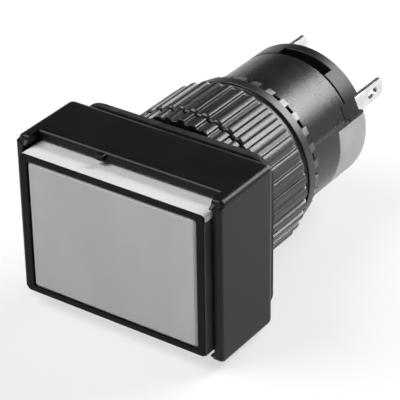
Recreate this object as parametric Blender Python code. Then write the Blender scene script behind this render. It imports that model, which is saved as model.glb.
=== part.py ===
"""Panel-mount LED indicator light with a rectangular head.

The head stands in front of the panel and faces -Y, its barrel passes through a round hole in the
panel, and a lock ring and a ribbed mounting ring clamp it from behind. The origin lies on the barrel's
axis in the rear face of the head, +Z is up, and every length is in metres. Each function below models
one piece in its own place, from the values at the top.
"""
import math

import bmesh
import bpy
from mathutils import Matrix, Vector

# Gap kept between pieces that seat on each other or slide in each other
CLEARANCE = 0.0003
ROUND_SEGMENTS = 64
CUT_MARGIN = 0.001

# Head and display well of the case
HEAD_WIDTH = 0.0240
HEAD_OVERLAP = 0.0009
HEAD_DEPTH = 0.0092
HEAD_WALL = 0.0009
HEAD_FLOOR = 0.0015
HEAD_CORNER = 0.0006
HEAD_REAR_ROUND = 0.0009
RIM_CHAMFER = 0.0002
RECESS_DEPTH = 0.0020
RECESS_LIP = 0.0004
RECESS_LIP_DROP = 0.0006
RECESS_END_RUN = 0.0013
NIB_OFFSET = -0.0029
NIB_WIDTH = 0.0008
NIB_REACH = 0.0006
NIB_HEIGHT = 0.0006

# Threaded barrel of the case
BARREL_RADIUS = 0.0078
BARREL_WALL = 0.0013
BARREL_LENGTH = 0.0137
BARREL_CHAMFER = 0.0003
KEYWAY_WIDTH = 0.0020
KEYWAY_DEPTH = 0.0006

# Display, from the front to the back
DISPLAY_PROUD = 0.0010
FRAME_WIDTH = 0.00035
FRAME_THICKNESS = 0.0003
LENS_THICKNESS = 0.0009
LENS_BEVEL = 0.0003
LEGEND_THICKNESS = 0.0007
GUIDE_POCKET_DEPTH = 0.0017
LIGHT_HOLE_RADIUS = 0.0036
HOLDER_WALL = 0.0014
HOLDER_CORNER = 0.0004
HOLDER_FLOOR = 0.0010
SEAL_THICKNESS = 0.0008
SEAL_WIDTH = 0.0010

# Panel gasket, lock ring and mounting ring
GASKET_SIDE_INSET = 0.0008
GASKET_TOP_INSET = 0.0003
GASKET_CORNER = 0.0022
GASKET_THICKNESS = 0.0008
LOCK_RING_WALL = 0.0011
LOCK_RING_THICKNESS = 0.0021
LOCK_RING_BITES = 24
BITE_DEPTH = 0.0003
GRIP_WALL = 0.0014
GRIP_LENGTH = 0.0066
GRIP_CHAMFER = 0.0005
RIB_COUNT = 40
RIB_DEPTH = 0.0004
CROWN_WALL = 0.00065
CROWN_LENGTH = 0.0033
CROWN_TAPER = 0.00025
NECK_LENGTH = 0.00115
NECK_DEPTH = 0.0003
CROWN_TEETH = 30
CROWN_TURN = math.radians(-2)
TOOTH_HEIGHT = 0.0011
TOOTH_SHARE = 0.55

# Socket body, terminal base and side latches behind the barrel
SOCKET_LENGTH = 0.0074
SPIGOT_LENGTH = 0.0090
SPIGOT_WALL = 0.0008
SPIGOT_KEY_WIDTH = 0.0012
SPIGOT_KEY_HEIGHT = 0.0005
WEB_THICKNESS = 0.0035
SOCKET_FLANGE = 0.0012
GROOVE_ANGLE = math.radians(24.5)
GROOVE_WIDTH = 0.0018
GROOVE_DEPTH = 0.0007
BASE_THICKNESS = 0.00255
BASE_CHAMFER = 0.00015
LATCH_REACH = 0.0027
LATCH_THICKNESS = 0.0007
LATCH_LOW = math.radians(-58)
LATCH_HIGH = math.radians(15)
RELEASE_SLOT_LOW = math.radians(58)
RELEASE_SLOT_HIGH = math.radians(102)
RELEASE_SLOT_LENGTH = 0.0012
RELEASE_SLOT_SINK = 0.0012

# Terminals, spring clips and lamp pins
TAB_WIDTH = 0.0022
TAB_THICKNESS = 0.0005
TAB_LENGTH = 0.00695
TAB_TAPER = 0.0005
EYE_RADIUS = 0.0005
EYE_STRETCH = 0.0008
EYE_FROM_TIP = 0.0021
ROOT_THICKNESS = 0.0007
ROOT_DROP = 0.0008
SIDE_WALL = 0.00075
SLOT_WALL = 0.0005
RIGHT_TERMINAL_Z = 0.0016
CLIP_STRIP = 0.00025
CLIP_WIDTH = 0.0016
CLIP_LENGTH = 0.0040
CLIP_RETURN = 0.0012
PIN_WIDTH = 0.0006
PIN_THICKNESS = 0.0005
PIN_LENGTH = 0.0125

# Plug-in LED lamp
LAMP_CUP_LENGTH = 0.0056
LAMP_CUP_WALL = 0.0007
LAMP_CUP_FLOOR = 0.0012
BOARD_THICKNESS = 0.0008
LED_RADIUS = 0.0025
LED_RIM_RADIUS = 0.0029
LED_RIM_THICKNESS = 0.0010
LED_TIP_GAP = 0.0010
LED_LEG_WIDTH = 0.0005
LED_LEG_SPACING = 0.0025
REFLECTOR_WALL = 0.0006
REFLECTOR_DEPTH = 0.0050
RESISTOR_RADIUS = 0.0008
RESISTOR_LENGTH = 0.0022
DIODE_RADIUS = 0.0006
DIODE_LENGTH = 0.0019
LEAD_THICKNESS = 0.0004
LEAD_RISE = 0.0003
COMPONENT_GAP = 0.0003

# Places along Y that follow from the sizes, front to back
RIM_FRONT = -HEAD_DEPTH
DISPLAY_FRONT = RIM_FRONT - DISPLAY_PROUD
HOLDER_FRONT = DISPLAY_FRONT + FRAME_THICKNESS + CLEARANCE
LEGEND_FRONT = DISPLAY_FRONT + LENS_THICKNESS + CLEARANCE
SHOULDER = LEGEND_FRONT + LEGEND_THICKNESS + CLEARANCE
GUIDE_FRONT = SHOULDER
WELL_FLOOR = -HEAD_FLOOR
SEAL_FRONT = WELL_FLOOR - CLEARANCE - SEAL_THICKNESS
HOLDER_REAR = SEAL_FRONT - CLEARANCE
GUIDE_REAR = HOLDER_REAR - HOLDER_FLOOR - CLEARANCE
GASKET_FRONT = CLEARANCE
LOCK_RING_FRONT = GASKET_FRONT + GASKET_THICKNESS + CLEARANCE
GRIP_FRONT = LOCK_RING_FRONT + LOCK_RING_THICKNESS + CLEARANCE
SOCKET_FRONT = BARREL_LENGTH + CLEARANCE
SOCKET_REAR = SOCKET_FRONT + SOCKET_LENGTH
SPIGOT_FRONT = SOCKET_FRONT - SPIGOT_LENGTH
CHAMBER_FRONT = SOCKET_FRONT + SOCKET_FLANGE
WEB_FRONT = CHAMBER_FRONT - WEB_THICKNESS
BASE_FRONT = SOCKET_REAR + CLEARANCE
BASE_REAR = BASE_FRONT + BASE_THICKNESS
TAB_TIP = BASE_REAR + TAB_LENGTH
CLIP_FRONT = CHAMBER_FRONT + CLEARANCE
LAMP_CUP_FRONT = WEB_FRONT - CLEARANCE - LAMP_CUP_LENGTH
BOARD_FRONT = LAMP_CUP_FRONT - CLEARANCE - BOARD_THICKNESS
LED_REAR = BOARD_FRONT - CLEARANCE
PIN_FRONT = BOARD_FRONT + BOARD_THICKNESS + CLEARANCE

# Radii and half sizes that follow from the sizes
RING_BORE = BARREL_RADIUS + CLEARANCE
HEAD_HEIGHT = 2 * (RING_BORE + HEAD_OVERLAP)
WELL_HALF_WIDTH = HEAD_WIDTH / 2 - HEAD_WALL
WELL_HALF_HEIGHT = HEAD_HEIGHT / 2 - HEAD_WALL
DISPLAY_HALF_WIDTH = WELL_HALF_WIDTH - CLEARANCE
DISPLAY_HALF_HEIGHT = WELL_HALF_HEIGHT - CLEARANCE
WINDOW_HALF_WIDTH = DISPLAY_HALF_WIDTH - FRAME_WIDTH
WINDOW_HALF_HEIGHT = DISPLAY_HALF_HEIGHT - FRAME_WIDTH
LENS_HALF_WIDTH = WINDOW_HALF_WIDTH - CLEARANCE
LENS_HALF_HEIGHT = WINDOW_HALF_HEIGHT - CLEARANCE
CAVITY_HALF_WIDTH = DISPLAY_HALF_WIDTH - HOLDER_WALL
CAVITY_HALF_HEIGHT = DISPLAY_HALF_HEIGHT - HOLDER_WALL
BARREL_BORE = BARREL_RADIUS - BARREL_WALL
LOCK_RING_RADIUS = RING_BORE + LOCK_RING_WALL
GRIP_RADIUS = RING_BORE + GRIP_WALL
CROWN_RADIUS = RING_BORE + CROWN_WALL
KEYWAY_BOTTOM = BARREL_RADIUS - KEYWAY_DEPTH
SPIGOT_RADIUS = BARREL_BORE - CLEARANCE
SPIGOT_BORE = SPIGOT_RADIUS - SPIGOT_WALL
LAMP_RADIUS = SPIGOT_BORE - CLEARANCE
CUP_BORE = LAMP_RADIUS - LAMP_CUP_WALL
LATCH_INNER = BARREL_RADIUS - LATCH_THICKNESS
CLIP_ARM_OFFSET = PIN_WIDTH / 2 + CLEARANCE + CLIP_STRIP / 2
CLIP_SEAT = CLIP_STRIP / 2 + CLEARANCE + ROOT_THICKNESS / 2
ROOT_SLOT_HALF = ROOT_THICKNESS / 2 + CLEARANCE
RIGHT_TERMINAL_X = LATCH_INNER - CLEARANCE - SIDE_WALL - ROOT_SLOT_HALF
PIN_OFFSET = RIGHT_TERMINAL_X - CLIP_SEAT - CLIP_RETURN - CLIP_ARM_OFFSET
LEFT_TERMINAL_X = -(PIN_OFFSET + CLIP_ARM_OFFSET + CLIP_SEAT)
LEFT_SLOT_TOP = math.sqrt((BARREL_RADIUS - SLOT_WALL) ** 2 - (ROOT_SLOT_HALF - LEFT_TERMINAL_X) ** 2)
LEFT_TERMINAL_Z = LEFT_SLOT_TOP - CLEARANCE - TAB_WIDTH / 2


def clear_scene():
    """Remove whatever the file holds, so that only the indicator is left."""
    for old in list(bpy.data.objects):
        bpy.data.objects.remove(old, do_unlink=True)


def plastic(name, colour, roughness, alpha=1.0, metallic=0.0):
    """A Principled material; alpha under 1 marks a translucent moulding."""
    material = bpy.data.materials.new(name)
    material.use_nodes = True
    shader = material.node_tree.nodes["Principled BSDF"]
    shader.inputs["Base Color"].default_value = (*colour, 1.0)
    shader.inputs["Roughness"].default_value = roughness
    shader.inputs["Metallic"].default_value = metallic
    shader.inputs["Alpha"].default_value = alpha
    return material


def metal(name, colour, roughness):
    return plastic(name, colour, roughness, metallic=1.0)


def object_from(name, mesh_builder, material=None):
    """Turn a bmesh into an object with outward faces and smooth round sides."""
    bmesh.ops.recalc_face_normals(mesh_builder, faces=mesh_builder.faces)
    mesh = bpy.data.meshes.new(name)
    mesh_builder.to_mesh(mesh)
    mesh_builder.free()
    mesh.shade_smooth()
    mesh.set_sharp_from_angle(angle=math.radians(35))
    piece = bpy.data.objects.new(name, mesh)
    bpy.context.collection.objects.link(piece)
    if material is not None:
        mesh.materials.append(material)
    return piece


def loft(name, sections, material=None):
    """Skin a row of closed outlines with equal point counts, and cap both ends."""
    builder = bmesh.new()
    loops = [[builder.verts.new(point) for point in section] for section in sections]
    count = len(loops[0])
    for near, far in zip(loops, loops[1:]):
        for i in range(count):
            j = (i + 1) % count
            builder.faces.new((near[i], near[j], far[j], far[i]))
    builder.faces.new(loops[0])
    builder.faces.new(loops[-1])
    return object_from(name, builder, material)


def ring_from_sections(name, rings, material=None):
    """Join closed sections that stand round the Y axis into a closed ring."""
    builder = bmesh.new()
    loops = [[builder.verts.new(point) for point in ring] for ring in rings]
    count = len(loops[0])
    for k, near in enumerate(loops):
        far = loops[(k + 1) % len(loops)]
        for i in range(count):
            j = (i + 1) % count
            builder.faces.new((near[i], near[j], far[j], far[i]))
    return object_from(name, builder, material)


def round_point(radius, angle, y):
    """A point at an angle round the Y axis, counted from +X towards +Z."""
    return (radius * math.cos(angle), y, radius * math.sin(angle))


def turned(name, profile, material=None, segments=ROUND_SEGMENTS):
    """Turn a closed (radius, y) profile that keeps off the axis round the Y axis."""
    angles = [2 * math.pi * k / segments for k in range(segments)]
    rings = [[round_point(radius, angle, y) for radius, y in profile] for angle in angles]
    return ring_from_sections(name, rings, material)


def cylinder(name, stations, material=None, segments=ROUND_SEGMENTS):
    """A solid round bar along Y through (radius, y) stations."""
    angles = [2 * math.pi * k / segments for k in range(segments)]
    sections = [[round_point(radius, angle, y) for angle in angles] for radius, y in stations]
    return loft(name, sections, material)


def rounded_outline(half_width, half_height, corner, y, steps=3):
    """A rectangle in the XZ plane with round corners, at depth y."""
    centres = ((1, 1, 0), (-1, 1, 90), (-1, -1, 180), (1, -1, 270))
    points = []
    for side_x, side_z, start in centres:
        for k in range(steps + 1):
            angle = math.radians(start + 90 * k / steps)
            x = side_x * (half_width - corner) + corner * math.cos(angle)
            z = side_z * (half_height - corner) + corner * math.sin(angle)
            points.append((x, y, z))
    return points


def rounded_bar(name, half_width, half_height, corner, low, high, material=None):
    """A straight bar along Y with a round-cornered section."""
    sections = [rounded_outline(half_width, half_height, corner, y) for y in (low, high)]
    return loft(name, sections, material)


def block(name, low, high, material=None):
    """A box between two corners."""
    builder = bmesh.new()
    bmesh.ops.create_cube(builder, size=1.0)
    size = Vector(high) - Vector(low)
    middle = (Vector(high) + Vector(low)) / 2
    bmesh.ops.transform(builder, matrix=Matrix.Translation(middle) @ Matrix.Diagonal((*size, 1)),
                        verts=builder.verts)
    return object_from(name, builder, material)


def prism(name, outline, place, low, high, material=None):
    """Extrude a flat outline: place(u, v, w) puts an outline point at height w."""
    sections = [[place(u, v, w) for u, v in outline] for w in (low, high)]
    return loft(name, sections, material)


def sector(name, inner, outer, start, end, low, high, material=None, steps=12):
    """Part of a tube between two angles round the Y axis."""
    angles = [start + (end - start) * k / steps for k in range(steps + 1)]
    outline = [(outer, angle) for angle in angles] + [(inner, angle) for angle in reversed(angles)]
    sections = [[round_point(radius, angle, y) for radius, angle in outline] for y in (low, high)]
    return loft(name, sections, material)


def combine(target, tool, operation):
    """Keep a Boolean with a hidden tool that moves with its piece."""
    modifier = target.modifiers.new(tool.name, "BOOLEAN")
    modifier.operation = operation
    modifier.object = tool
    tool.parent = target
    tool.hide_render = True
    tool.display_type = "WIRE"
    return target


def cut(target, tool):
    return combine(target, tool, "DIFFERENCE")


def join(target, tool):
    return combine(target, tool, "UNION")


def cut_recess(case, name, side):
    """Open the middle of the top (side 1) or bottom (side -1) wall in front, and lower its two ends."""
    front = RIM_FRONT - CUT_MARGIN
    high = HEAD_HEIGHT / 2 + CUT_MARGIN
    middle = HEAD_WIDTH / 2 - RECESS_END_RUN
    everywhere = HEAD_WIDTH / 2 + CUT_MARGIN
    for part, half, depth, low in (("recess", middle, RECESS_DEPTH, DISPLAY_HALF_HEIGHT),
                                   ("lip", everywhere, RECESS_LIP, HEAD_HEIGHT / 2 - RECESS_LIP_DROP)):
        span = sorted((side * low, side * high))
        cut(case, block(f"{name}_{part}_tool", (-half, front, span[0]), (half, RIM_FRONT + depth, span[1])))


def build_case(material):
    """Head and barrel, moulded as one: a display well in front, a keyed barrel behind."""
    half_width = HEAD_WIDTH / 2
    half_height = HEAD_HEIGHT / 2
    stations = [(RIM_FRONT, RIM_CHAMFER), (RIM_FRONT + RIM_CHAMFER, 0.0)]
    for k in range(4):
        turn = math.radians(30 * k)
        inset = HEAD_REAR_ROUND * (1 - math.cos(turn))
        stations.append((HEAD_REAR_ROUND * (math.sin(turn) - 1), inset))
    sections = [rounded_outline(half_width - inset, half_height - inset, HEAD_CORNER, y)
                for y, inset in stations]
    case = loft("case", sections, material)
    barrel = cylinder("barrel_tool", [(BARREL_RADIUS, -HEAD_FLOOR / 2),
                                      (BARREL_RADIUS, BARREL_LENGTH - BARREL_CHAMFER),
                                      (BARREL_RADIUS - BARREL_CHAMFER, BARREL_LENGTH)])
    join(case, barrel)
    cut(case, rounded_bar("well_tool", WELL_HALF_WIDTH, WELL_HALF_HEIGHT, HOLDER_CORNER,
                          RIM_FRONT - CUT_MARGIN, WELL_FLOOR))
    cut(case, cylinder("bore_tool", [(BARREL_BORE, WELL_FLOOR - CUT_MARGIN),
                                     (BARREL_BORE, BARREL_LENGTH + CUT_MARGIN)]))
    cut_recess(case, "top", 1)
    cut_recess(case, "bottom", -1)
    cut(case, block("keyway_tool", (-KEYWAY_WIDTH / 2, 0.0, KEYWAY_BOTTOM),
                    (KEYWAY_WIDTH / 2, BARREL_LENGTH + CUT_MARGIN, BARREL_RADIUS + CUT_MARGIN)))
    slot_half = SPIGOT_KEY_WIDTH / 2 + CLEARANCE
    slot_depth = SPIGOT_RADIUS + SPIGOT_KEY_HEIGHT + CLEARANCE
    cut(case, block("spigot_slot_tool", (-slot_half, SPIGOT_FRONT, -slot_depth),
                    (slot_half, BARREL_LENGTH + CUT_MARGIN, -BARREL_BORE / 2)))
    nib_low = WELL_HALF_HEIGHT + CLEARANCE / 2
    nib_rear = RIM_FRONT + RECESS_DEPTH
    join(case, block("nib_tool", (NIB_OFFSET - NIB_WIDTH / 2, nib_rear - NIB_REACH, nib_low),
                     (NIB_OFFSET + NIB_WIDTH / 2, nib_rear + NIB_REACH, nib_low + NIB_HEIGHT)))
    return case


def build_display_frame(material):
    """Thin black border round the lens."""
    frame = rounded_bar("display_frame", DISPLAY_HALF_WIDTH, DISPLAY_HALF_HEIGHT, HOLDER_CORNER,
                        DISPLAY_FRONT, DISPLAY_FRONT + FRAME_THICKNESS, material)
    cut(frame, rounded_bar("window_tool", WINDOW_HALF_WIDTH, WINDOW_HALF_HEIGHT, HOLDER_CORNER,
                           DISPLAY_FRONT - CUT_MARGIN, DISPLAY_FRONT + CUT_MARGIN))
    return frame


def build_display_lens(material):
    """Translucent front plate with a bevelled edge."""
    stations = [(DISPLAY_FRONT, LENS_BEVEL), (DISPLAY_FRONT + LENS_BEVEL, 0.0),
                (DISPLAY_FRONT + LENS_THICKNESS, 0.0)]
    sections = [rounded_outline(LENS_HALF_WIDTH - inset, LENS_HALF_HEIGHT - inset, HOLDER_CORNER, y)
                for y, inset in stations]
    return loft("display_lens", sections, material)


def build_legend_plate(material):
    """Blank insert behind the lens, on the holder's shoulder."""
    return rounded_bar("legend_plate", LENS_HALF_WIDTH, LENS_HALF_HEIGHT, HOLDER_CORNER,
                       LEGEND_FRONT, LEGEND_FRONT + LEGEND_THICKNESS, material)


def build_light_guide(material):
    """Milky block that spreads the light, with a pocket for the LED in its back."""
    guide = rounded_bar("light_guide", CAVITY_HALF_WIDTH - CLEARANCE, CAVITY_HALF_HEIGHT - CLEARANCE,
                        HOLDER_CORNER, GUIDE_FRONT, GUIDE_REAR, material)
    cut(guide, cylinder("guide_pocket_tool", [(LIGHT_HOLE_RADIUS, GUIDE_REAR - GUIDE_POCKET_DEPTH),
                                              (LIGHT_HOLE_RADIUS, GUIDE_REAR + CUT_MARGIN)], segments=32))
    return guide


def build_display_holder(material):
    """White box that carries the lens, the plate and the light guide, open in front."""
    holder = rounded_bar("display_holder", DISPLAY_HALF_WIDTH, DISPLAY_HALF_HEIGHT, HOLDER_CORNER,
                         HOLDER_FRONT, HOLDER_REAR, material)
    cut(holder, rounded_bar("rebate_tool", WINDOW_HALF_WIDTH, WINDOW_HALF_HEIGHT, HOLDER_CORNER,
                            HOLDER_FRONT - CUT_MARGIN, SHOULDER))
    cut(holder, rounded_bar("cavity_tool", CAVITY_HALF_WIDTH, CAVITY_HALF_HEIGHT, HOLDER_CORNER,
                            SHOULDER - CUT_MARGIN / 2, GUIDE_REAR + CLEARANCE))
    cut(holder, cylinder("light_hole_tool", [(LIGHT_HOLE_RADIUS, HOLDER_REAR - HOLDER_FLOOR - CUT_MARGIN),
                                             (LIGHT_HOLE_RADIUS, HOLDER_REAR + CUT_MARGIN)], segments=32))
    return holder


def build_display_seal(material):
    """Rubber frame in the bottom of the well, behind the holder."""
    seal = rounded_bar("display_seal", DISPLAY_HALF_WIDTH, DISPLAY_HALF_HEIGHT, HOLDER_CORNER,
                       SEAL_FRONT, SEAL_FRONT + SEAL_THICKNESS, material)
    cut(seal, rounded_bar("seal_window_tool", DISPLAY_HALF_WIDTH - SEAL_WIDTH,
                          DISPLAY_HALF_HEIGHT - SEAL_WIDTH, HOLDER_CORNER,
                          SEAL_FRONT - CUT_MARGIN, SEAL_FRONT + CUT_MARGIN))
    return seal


def build_panel_gasket(material):
    """Rubber gasket behind the head, with a round hole for the barrel."""
    gasket = rounded_bar("panel_gasket", HEAD_WIDTH / 2 - GASKET_SIDE_INSET,
                         HEAD_HEIGHT / 2 - GASKET_TOP_INSET, GASKET_CORNER, GASKET_FRONT,
                         GASKET_FRONT + GASKET_THICKNESS, material)
    cut(gasket, cylinder("gasket_hole_tool", [(RING_BORE, GASKET_FRONT - CUT_MARGIN),
                                              (RING_BORE, GASKET_FRONT + GASKET_THICKNESS + CUT_MARGIN)]))
    return gasket


def build_lock_ring(material):
    """Ring that the barrel's keyway keeps from turning, with teeth that bite the panel."""
    front = LOCK_RING_FRONT
    rear = front + LOCK_RING_THICKNESS
    rings = []
    for k in range(2 * LOCK_RING_BITES):
        angle = math.pi * k / LOCK_RING_BITES
        tooth = front + BITE_DEPTH * (k % 2)
        section = [(RING_BORE, front + BITE_DEPTH), (RING_BORE, rear), (LOCK_RING_RADIUS, rear),
                   (LOCK_RING_RADIUS, front + BITE_DEPTH), ((RING_BORE + LOCK_RING_RADIUS) / 2, tooth)]
        rings.append([round_point(radius, angle, y) for radius, y in section])
    ring = ring_from_sections("lock_ring", rings, material)
    tongue_half = KEYWAY_WIDTH / 2 - CLEARANCE
    join(ring, block("tongue_tool", (-tongue_half, front + BITE_DEPTH, KEYWAY_BOTTOM + CLEARANCE),
                     (tongue_half, rear, (RING_BORE + LOCK_RING_RADIUS) / 2)))
    return ring


def build_mounting_ring(material):
    """Ribbed nut with a toothed crown behind its grip."""
    grip_rear = GRIP_FRONT + GRIP_LENGTH
    crown_rear = grip_rear + CROWN_LENGTH
    shoulder = grip_rear - GRIP_CHAMFER
    end_radius = GRIP_RADIUS - GRIP_CHAMFER
    neck_radius = CROWN_RADIUS - NECK_DEPTH
    neck_rear = grip_rear + NECK_LENGTH
    rib_turns = (0.0, 0.28, 0.78)
    rings = []
    for rib in range(RIB_COUNT):
        for part, turn in enumerate(rib_turns):
            angle = 2 * math.pi * (rib + turn) / RIB_COUNT
            radius = GRIP_RADIUS - (RIB_DEPTH if part == 0 else 0.0)
            section = [(RING_BORE, GRIP_FRONT), (end_radius, GRIP_FRONT),
                       (radius, GRIP_FRONT + GRIP_CHAMFER), (radius, shoulder),
                       (end_radius, grip_rear), (neck_radius, grip_rear),
                       (neck_radius, neck_rear), (CROWN_RADIUS, neck_rear),
                       (CROWN_RADIUS, crown_rear - TOOTH_HEIGHT),
                       (CROWN_RADIUS - CROWN_TAPER, crown_rear), (RING_BORE, crown_rear)]
            rings.append([round_point(r, angle, y) for r, y in section])
    nut = ring_from_sections("mounting_ring", rings, material)
    cut(nut, build_tooth_gaps(crown_rear))
    return nut


def build_tooth_gaps(crown_rear):
    """One tool with a radial block for each gap between the crown's teeth."""
    builder = bmesh.new()
    pitch = 2 * math.pi * RING_BORE / CROWN_TEETH
    gap = pitch * (1 - TOOTH_SHARE)
    wall = CROWN_RADIUS - RING_BORE
    size = Matrix.Diagonal((wall + CUT_MARGIN, TOOTH_HEIGHT + CUT_MARGIN, gap, 1))
    middle = Vector(((CROWN_RADIUS + RING_BORE) / 2, crown_rear + (CUT_MARGIN - TOOTH_HEIGHT) / 2, 0.0))
    for k in range(CROWN_TEETH):
        angle = CROWN_TURN + 2 * math.pi * (k + 0.5) / CROWN_TEETH
        turn = Matrix.Rotation(-angle, 4, "Y")
        bmesh.ops.create_cube(builder, size=1.0, matrix=turn @ Matrix.Translation(middle) @ size)
    return object_from("tooth_gap_tool", builder)


def groove_tool(name, angle, low, high):
    """Axial groove in the round side at an angle, through everything from low to high."""
    depth = GROOVE_DEPTH + CUT_MARGIN
    middle = BARREL_RADIUS - GROOVE_DEPTH + depth / 2
    tool = block(name, (middle - depth / 2, low, -GROOVE_WIDTH / 2),
                 (middle + depth / 2, high, GROOVE_WIDTH / 2))
    tool.data.transform(Matrix.Rotation(-angle, 4, "Y"))
    return tool


def cut_side_grooves(target, low, high):
    for side, angle in (("right", GROOVE_ANGLE), ("left", math.pi - GROOVE_ANGLE)):
        cut(target, groove_tool(f"{target.name}_{side}_groove_tool", angle, low, high))


def latch_span(side, spare):
    """Start and end angle of a side latch, widened at both ends by a spare angle."""
    low = LATCH_LOW - spare
    high = LATCH_HIGH + spare
    return (low, high) if side > 0 else (math.pi - high, math.pi - low)


def build_socket_body(material):
    """Round housing with a spigot in front that plugs into the barrel and holds the lamp."""
    body = cylinder("socket_body", [(SPIGOT_RADIUS, SPIGOT_FRONT), (SPIGOT_RADIUS, SOCKET_FRONT),
                                    (BARREL_RADIUS, SOCKET_FRONT), (BARREL_RADIUS, SOCKET_REAR)], material)
    key_low = SPIGOT_RADIUS - SPIGOT_WALL / 2
    key_high = SPIGOT_RADIUS + SPIGOT_KEY_HEIGHT
    join(body, block("spigot_key_tool", (-SPIGOT_KEY_WIDTH / 2, SPIGOT_FRONT + SPIGOT_WALL, -key_high),
                     (SPIGOT_KEY_WIDTH / 2, SOCKET_FRONT + SPIGOT_WALL, -key_low)))
    cut(body, cylinder("spigot_bore_tool", [(SPIGOT_BORE, SPIGOT_FRONT - CUT_MARGIN),
                                            (SPIGOT_BORE, WEB_FRONT)]))
    pin_half_width = PIN_WIDTH / 2 + CLEARANCE
    pin_half_height = PIN_THICKNESS / 2 + CLEARANCE
    clip_half = CLIP_WIDTH / 2 + CLEARANCE
    clip_inner = PIN_OFFSET - CLIP_ARM_OFFSET - CLIP_STRIP / 2 - CLEARANCE
    for name, side, x, z in (("right", 1, RIGHT_TERMINAL_X, RIGHT_TERMINAL_Z),
                             ("left", -1, LEFT_TERMINAL_X, LEFT_TERMINAL_Z)):
        span = sorted((side * clip_inner, x + side * ROOT_SLOT_HALF))
        cut(body, block(f"{name}_chamber_tool", (span[0], CHAMBER_FRONT, -clip_half),
                        (span[1], SOCKET_REAR + CUT_MARGIN, clip_half)))
        cut(body, block(f"{name}_root_slot_tool", (x - ROOT_SLOT_HALF, CHAMBER_FRONT, 0.0),
                        (x + ROOT_SLOT_HALF, SOCKET_REAR + CUT_MARGIN, z + TAB_WIDTH / 2 + CLEARANCE)))
        cut(body, block(f"{name}_pin_slot_tool",
                        (side * PIN_OFFSET - pin_half_width, WEB_FRONT - CUT_MARGIN, -pin_half_height),
                        (side * PIN_OFFSET + pin_half_width, CHAMBER_FRONT + CUT_MARGIN, pin_half_height)))
        start, end = latch_span(side, CLEARANCE / BARREL_RADIUS)
        cut(body, sector(f"{name}_latch_recess_tool", LATCH_INNER - CLEARANCE, BARREL_RADIUS + CUT_MARGIN,
                         start, end, BASE_FRONT - LATCH_REACH - CLEARANCE, SOCKET_REAR + CUT_MARGIN))
    cut_side_grooves(body, SOCKET_FRONT - CUT_MARGIN, SOCKET_REAR + CUT_MARGIN)
    return body


def build_terminal_base(material):
    """Rear disc that closes the socket and lets the terminals through, sunk where the latches lie."""
    base = cylinder("terminal_base", [(BARREL_RADIUS, BASE_FRONT),
                                      (BARREL_RADIUS, BASE_REAR - BASE_CHAMFER),
                                      (BARREL_RADIUS - BASE_CHAMFER, BASE_REAR)], material)
    outer = BARREL_RADIUS + CUT_MARGIN
    for name, side in (("right", 1), ("left", -1)):
        start, end = latch_span(side, CLEARANCE / BARREL_RADIUS)
        cut(base, sector(f"{name}_latch_seat_tool", LATCH_INNER - CLEARANCE, outer, start, end,
                         BASE_FRONT - CUT_MARGIN, BASE_REAR + CUT_MARGIN))
    tab_half = TAB_WIDTH / 2 + CLEARANCE
    for name, x, z in (("right", RIGHT_TERMINAL_X, RIGHT_TERMINAL_Z),
                       ("left", LEFT_TERMINAL_X, LEFT_TERMINAL_Z)):
        cut(base, block(f"{name}_tab_slot_tool",
                        (x - ROOT_SLOT_HALF, BASE_FRONT - CUT_MARGIN, z - tab_half),
                        (x + ROOT_SLOT_HALF, BASE_REAR + CUT_MARGIN, z + tab_half)))
    cut(base, sector("release_slot_tool", BARREL_RADIUS - RELEASE_SLOT_SINK, outer, RELEASE_SLOT_LOW,
                     RELEASE_SLOT_HIGH, BASE_FRONT - CUT_MARGIN, BASE_FRONT + RELEASE_SLOT_LENGTH))
    cut_side_grooves(base, BASE_FRONT - CUT_MARGIN, BASE_REAR + CUT_MARGIN)
    return base


def build_side_latch(name, side, material):
    """Curved shell that lies over the side of the base and the socket's rear end."""
    start, end = latch_span(side, 0.0)
    return sector(name, LATCH_INNER, BARREL_RADIUS, start, end, BASE_FRONT - LATCH_REACH, BASE_REAR,
                  material)


def build_terminal(name, x, z, material):
    """Stamped terminal: a tall root inside the socket and a solder tab with an eye behind it."""
    low = z - TAB_WIDTH / 2
    high = z + TAB_WIDTH / 2
    step = BASE_REAR + CLEARANCE
    root = [(CLIP_FRONT, -ROOT_DROP), (SOCKET_REAR, -ROOT_DROP), (SOCKET_REAR, low), (step, low),
            (step, high), (CLIP_FRONT, high)]
    terminal = prism(name, root, lambda y, v, w: (x + w, y, v), -ROOT_THICKNESS / 2,
                     ROOT_THICKNESS / 2, material)
    tab = [(step - TAB_TAPER, low), (TAB_TIP - TAB_TAPER, low), (TAB_TIP, low + TAB_TAPER),
           (TAB_TIP, high - TAB_TAPER), (TAB_TIP - TAB_TAPER, high), (step - TAB_TAPER, high)]
    join(terminal, prism(f"{name}_tab_tool", tab, lambda y, v, w: (x + w, y, v),
                         -TAB_THICKNESS / 2, TAB_THICKNESS / 2))
    eye = []
    for k in range(16):
        angle = 2 * math.pi * (k + 0.5) / 16
        stretch = math.copysign(EYE_STRETCH / 2, math.cos(angle))
        eye.append((TAB_TIP - EYE_FROM_TIP + stretch + EYE_RADIUS * math.cos(angle),
                    z + EYE_RADIUS * math.sin(angle)))
    cut(terminal, prism(f"{name}_eye_tool", eye, lambda y, v, w: (x + w, y, v),
                        -ROOT_THICKNESS, ROOT_THICKNESS))
    return terminal


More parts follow.
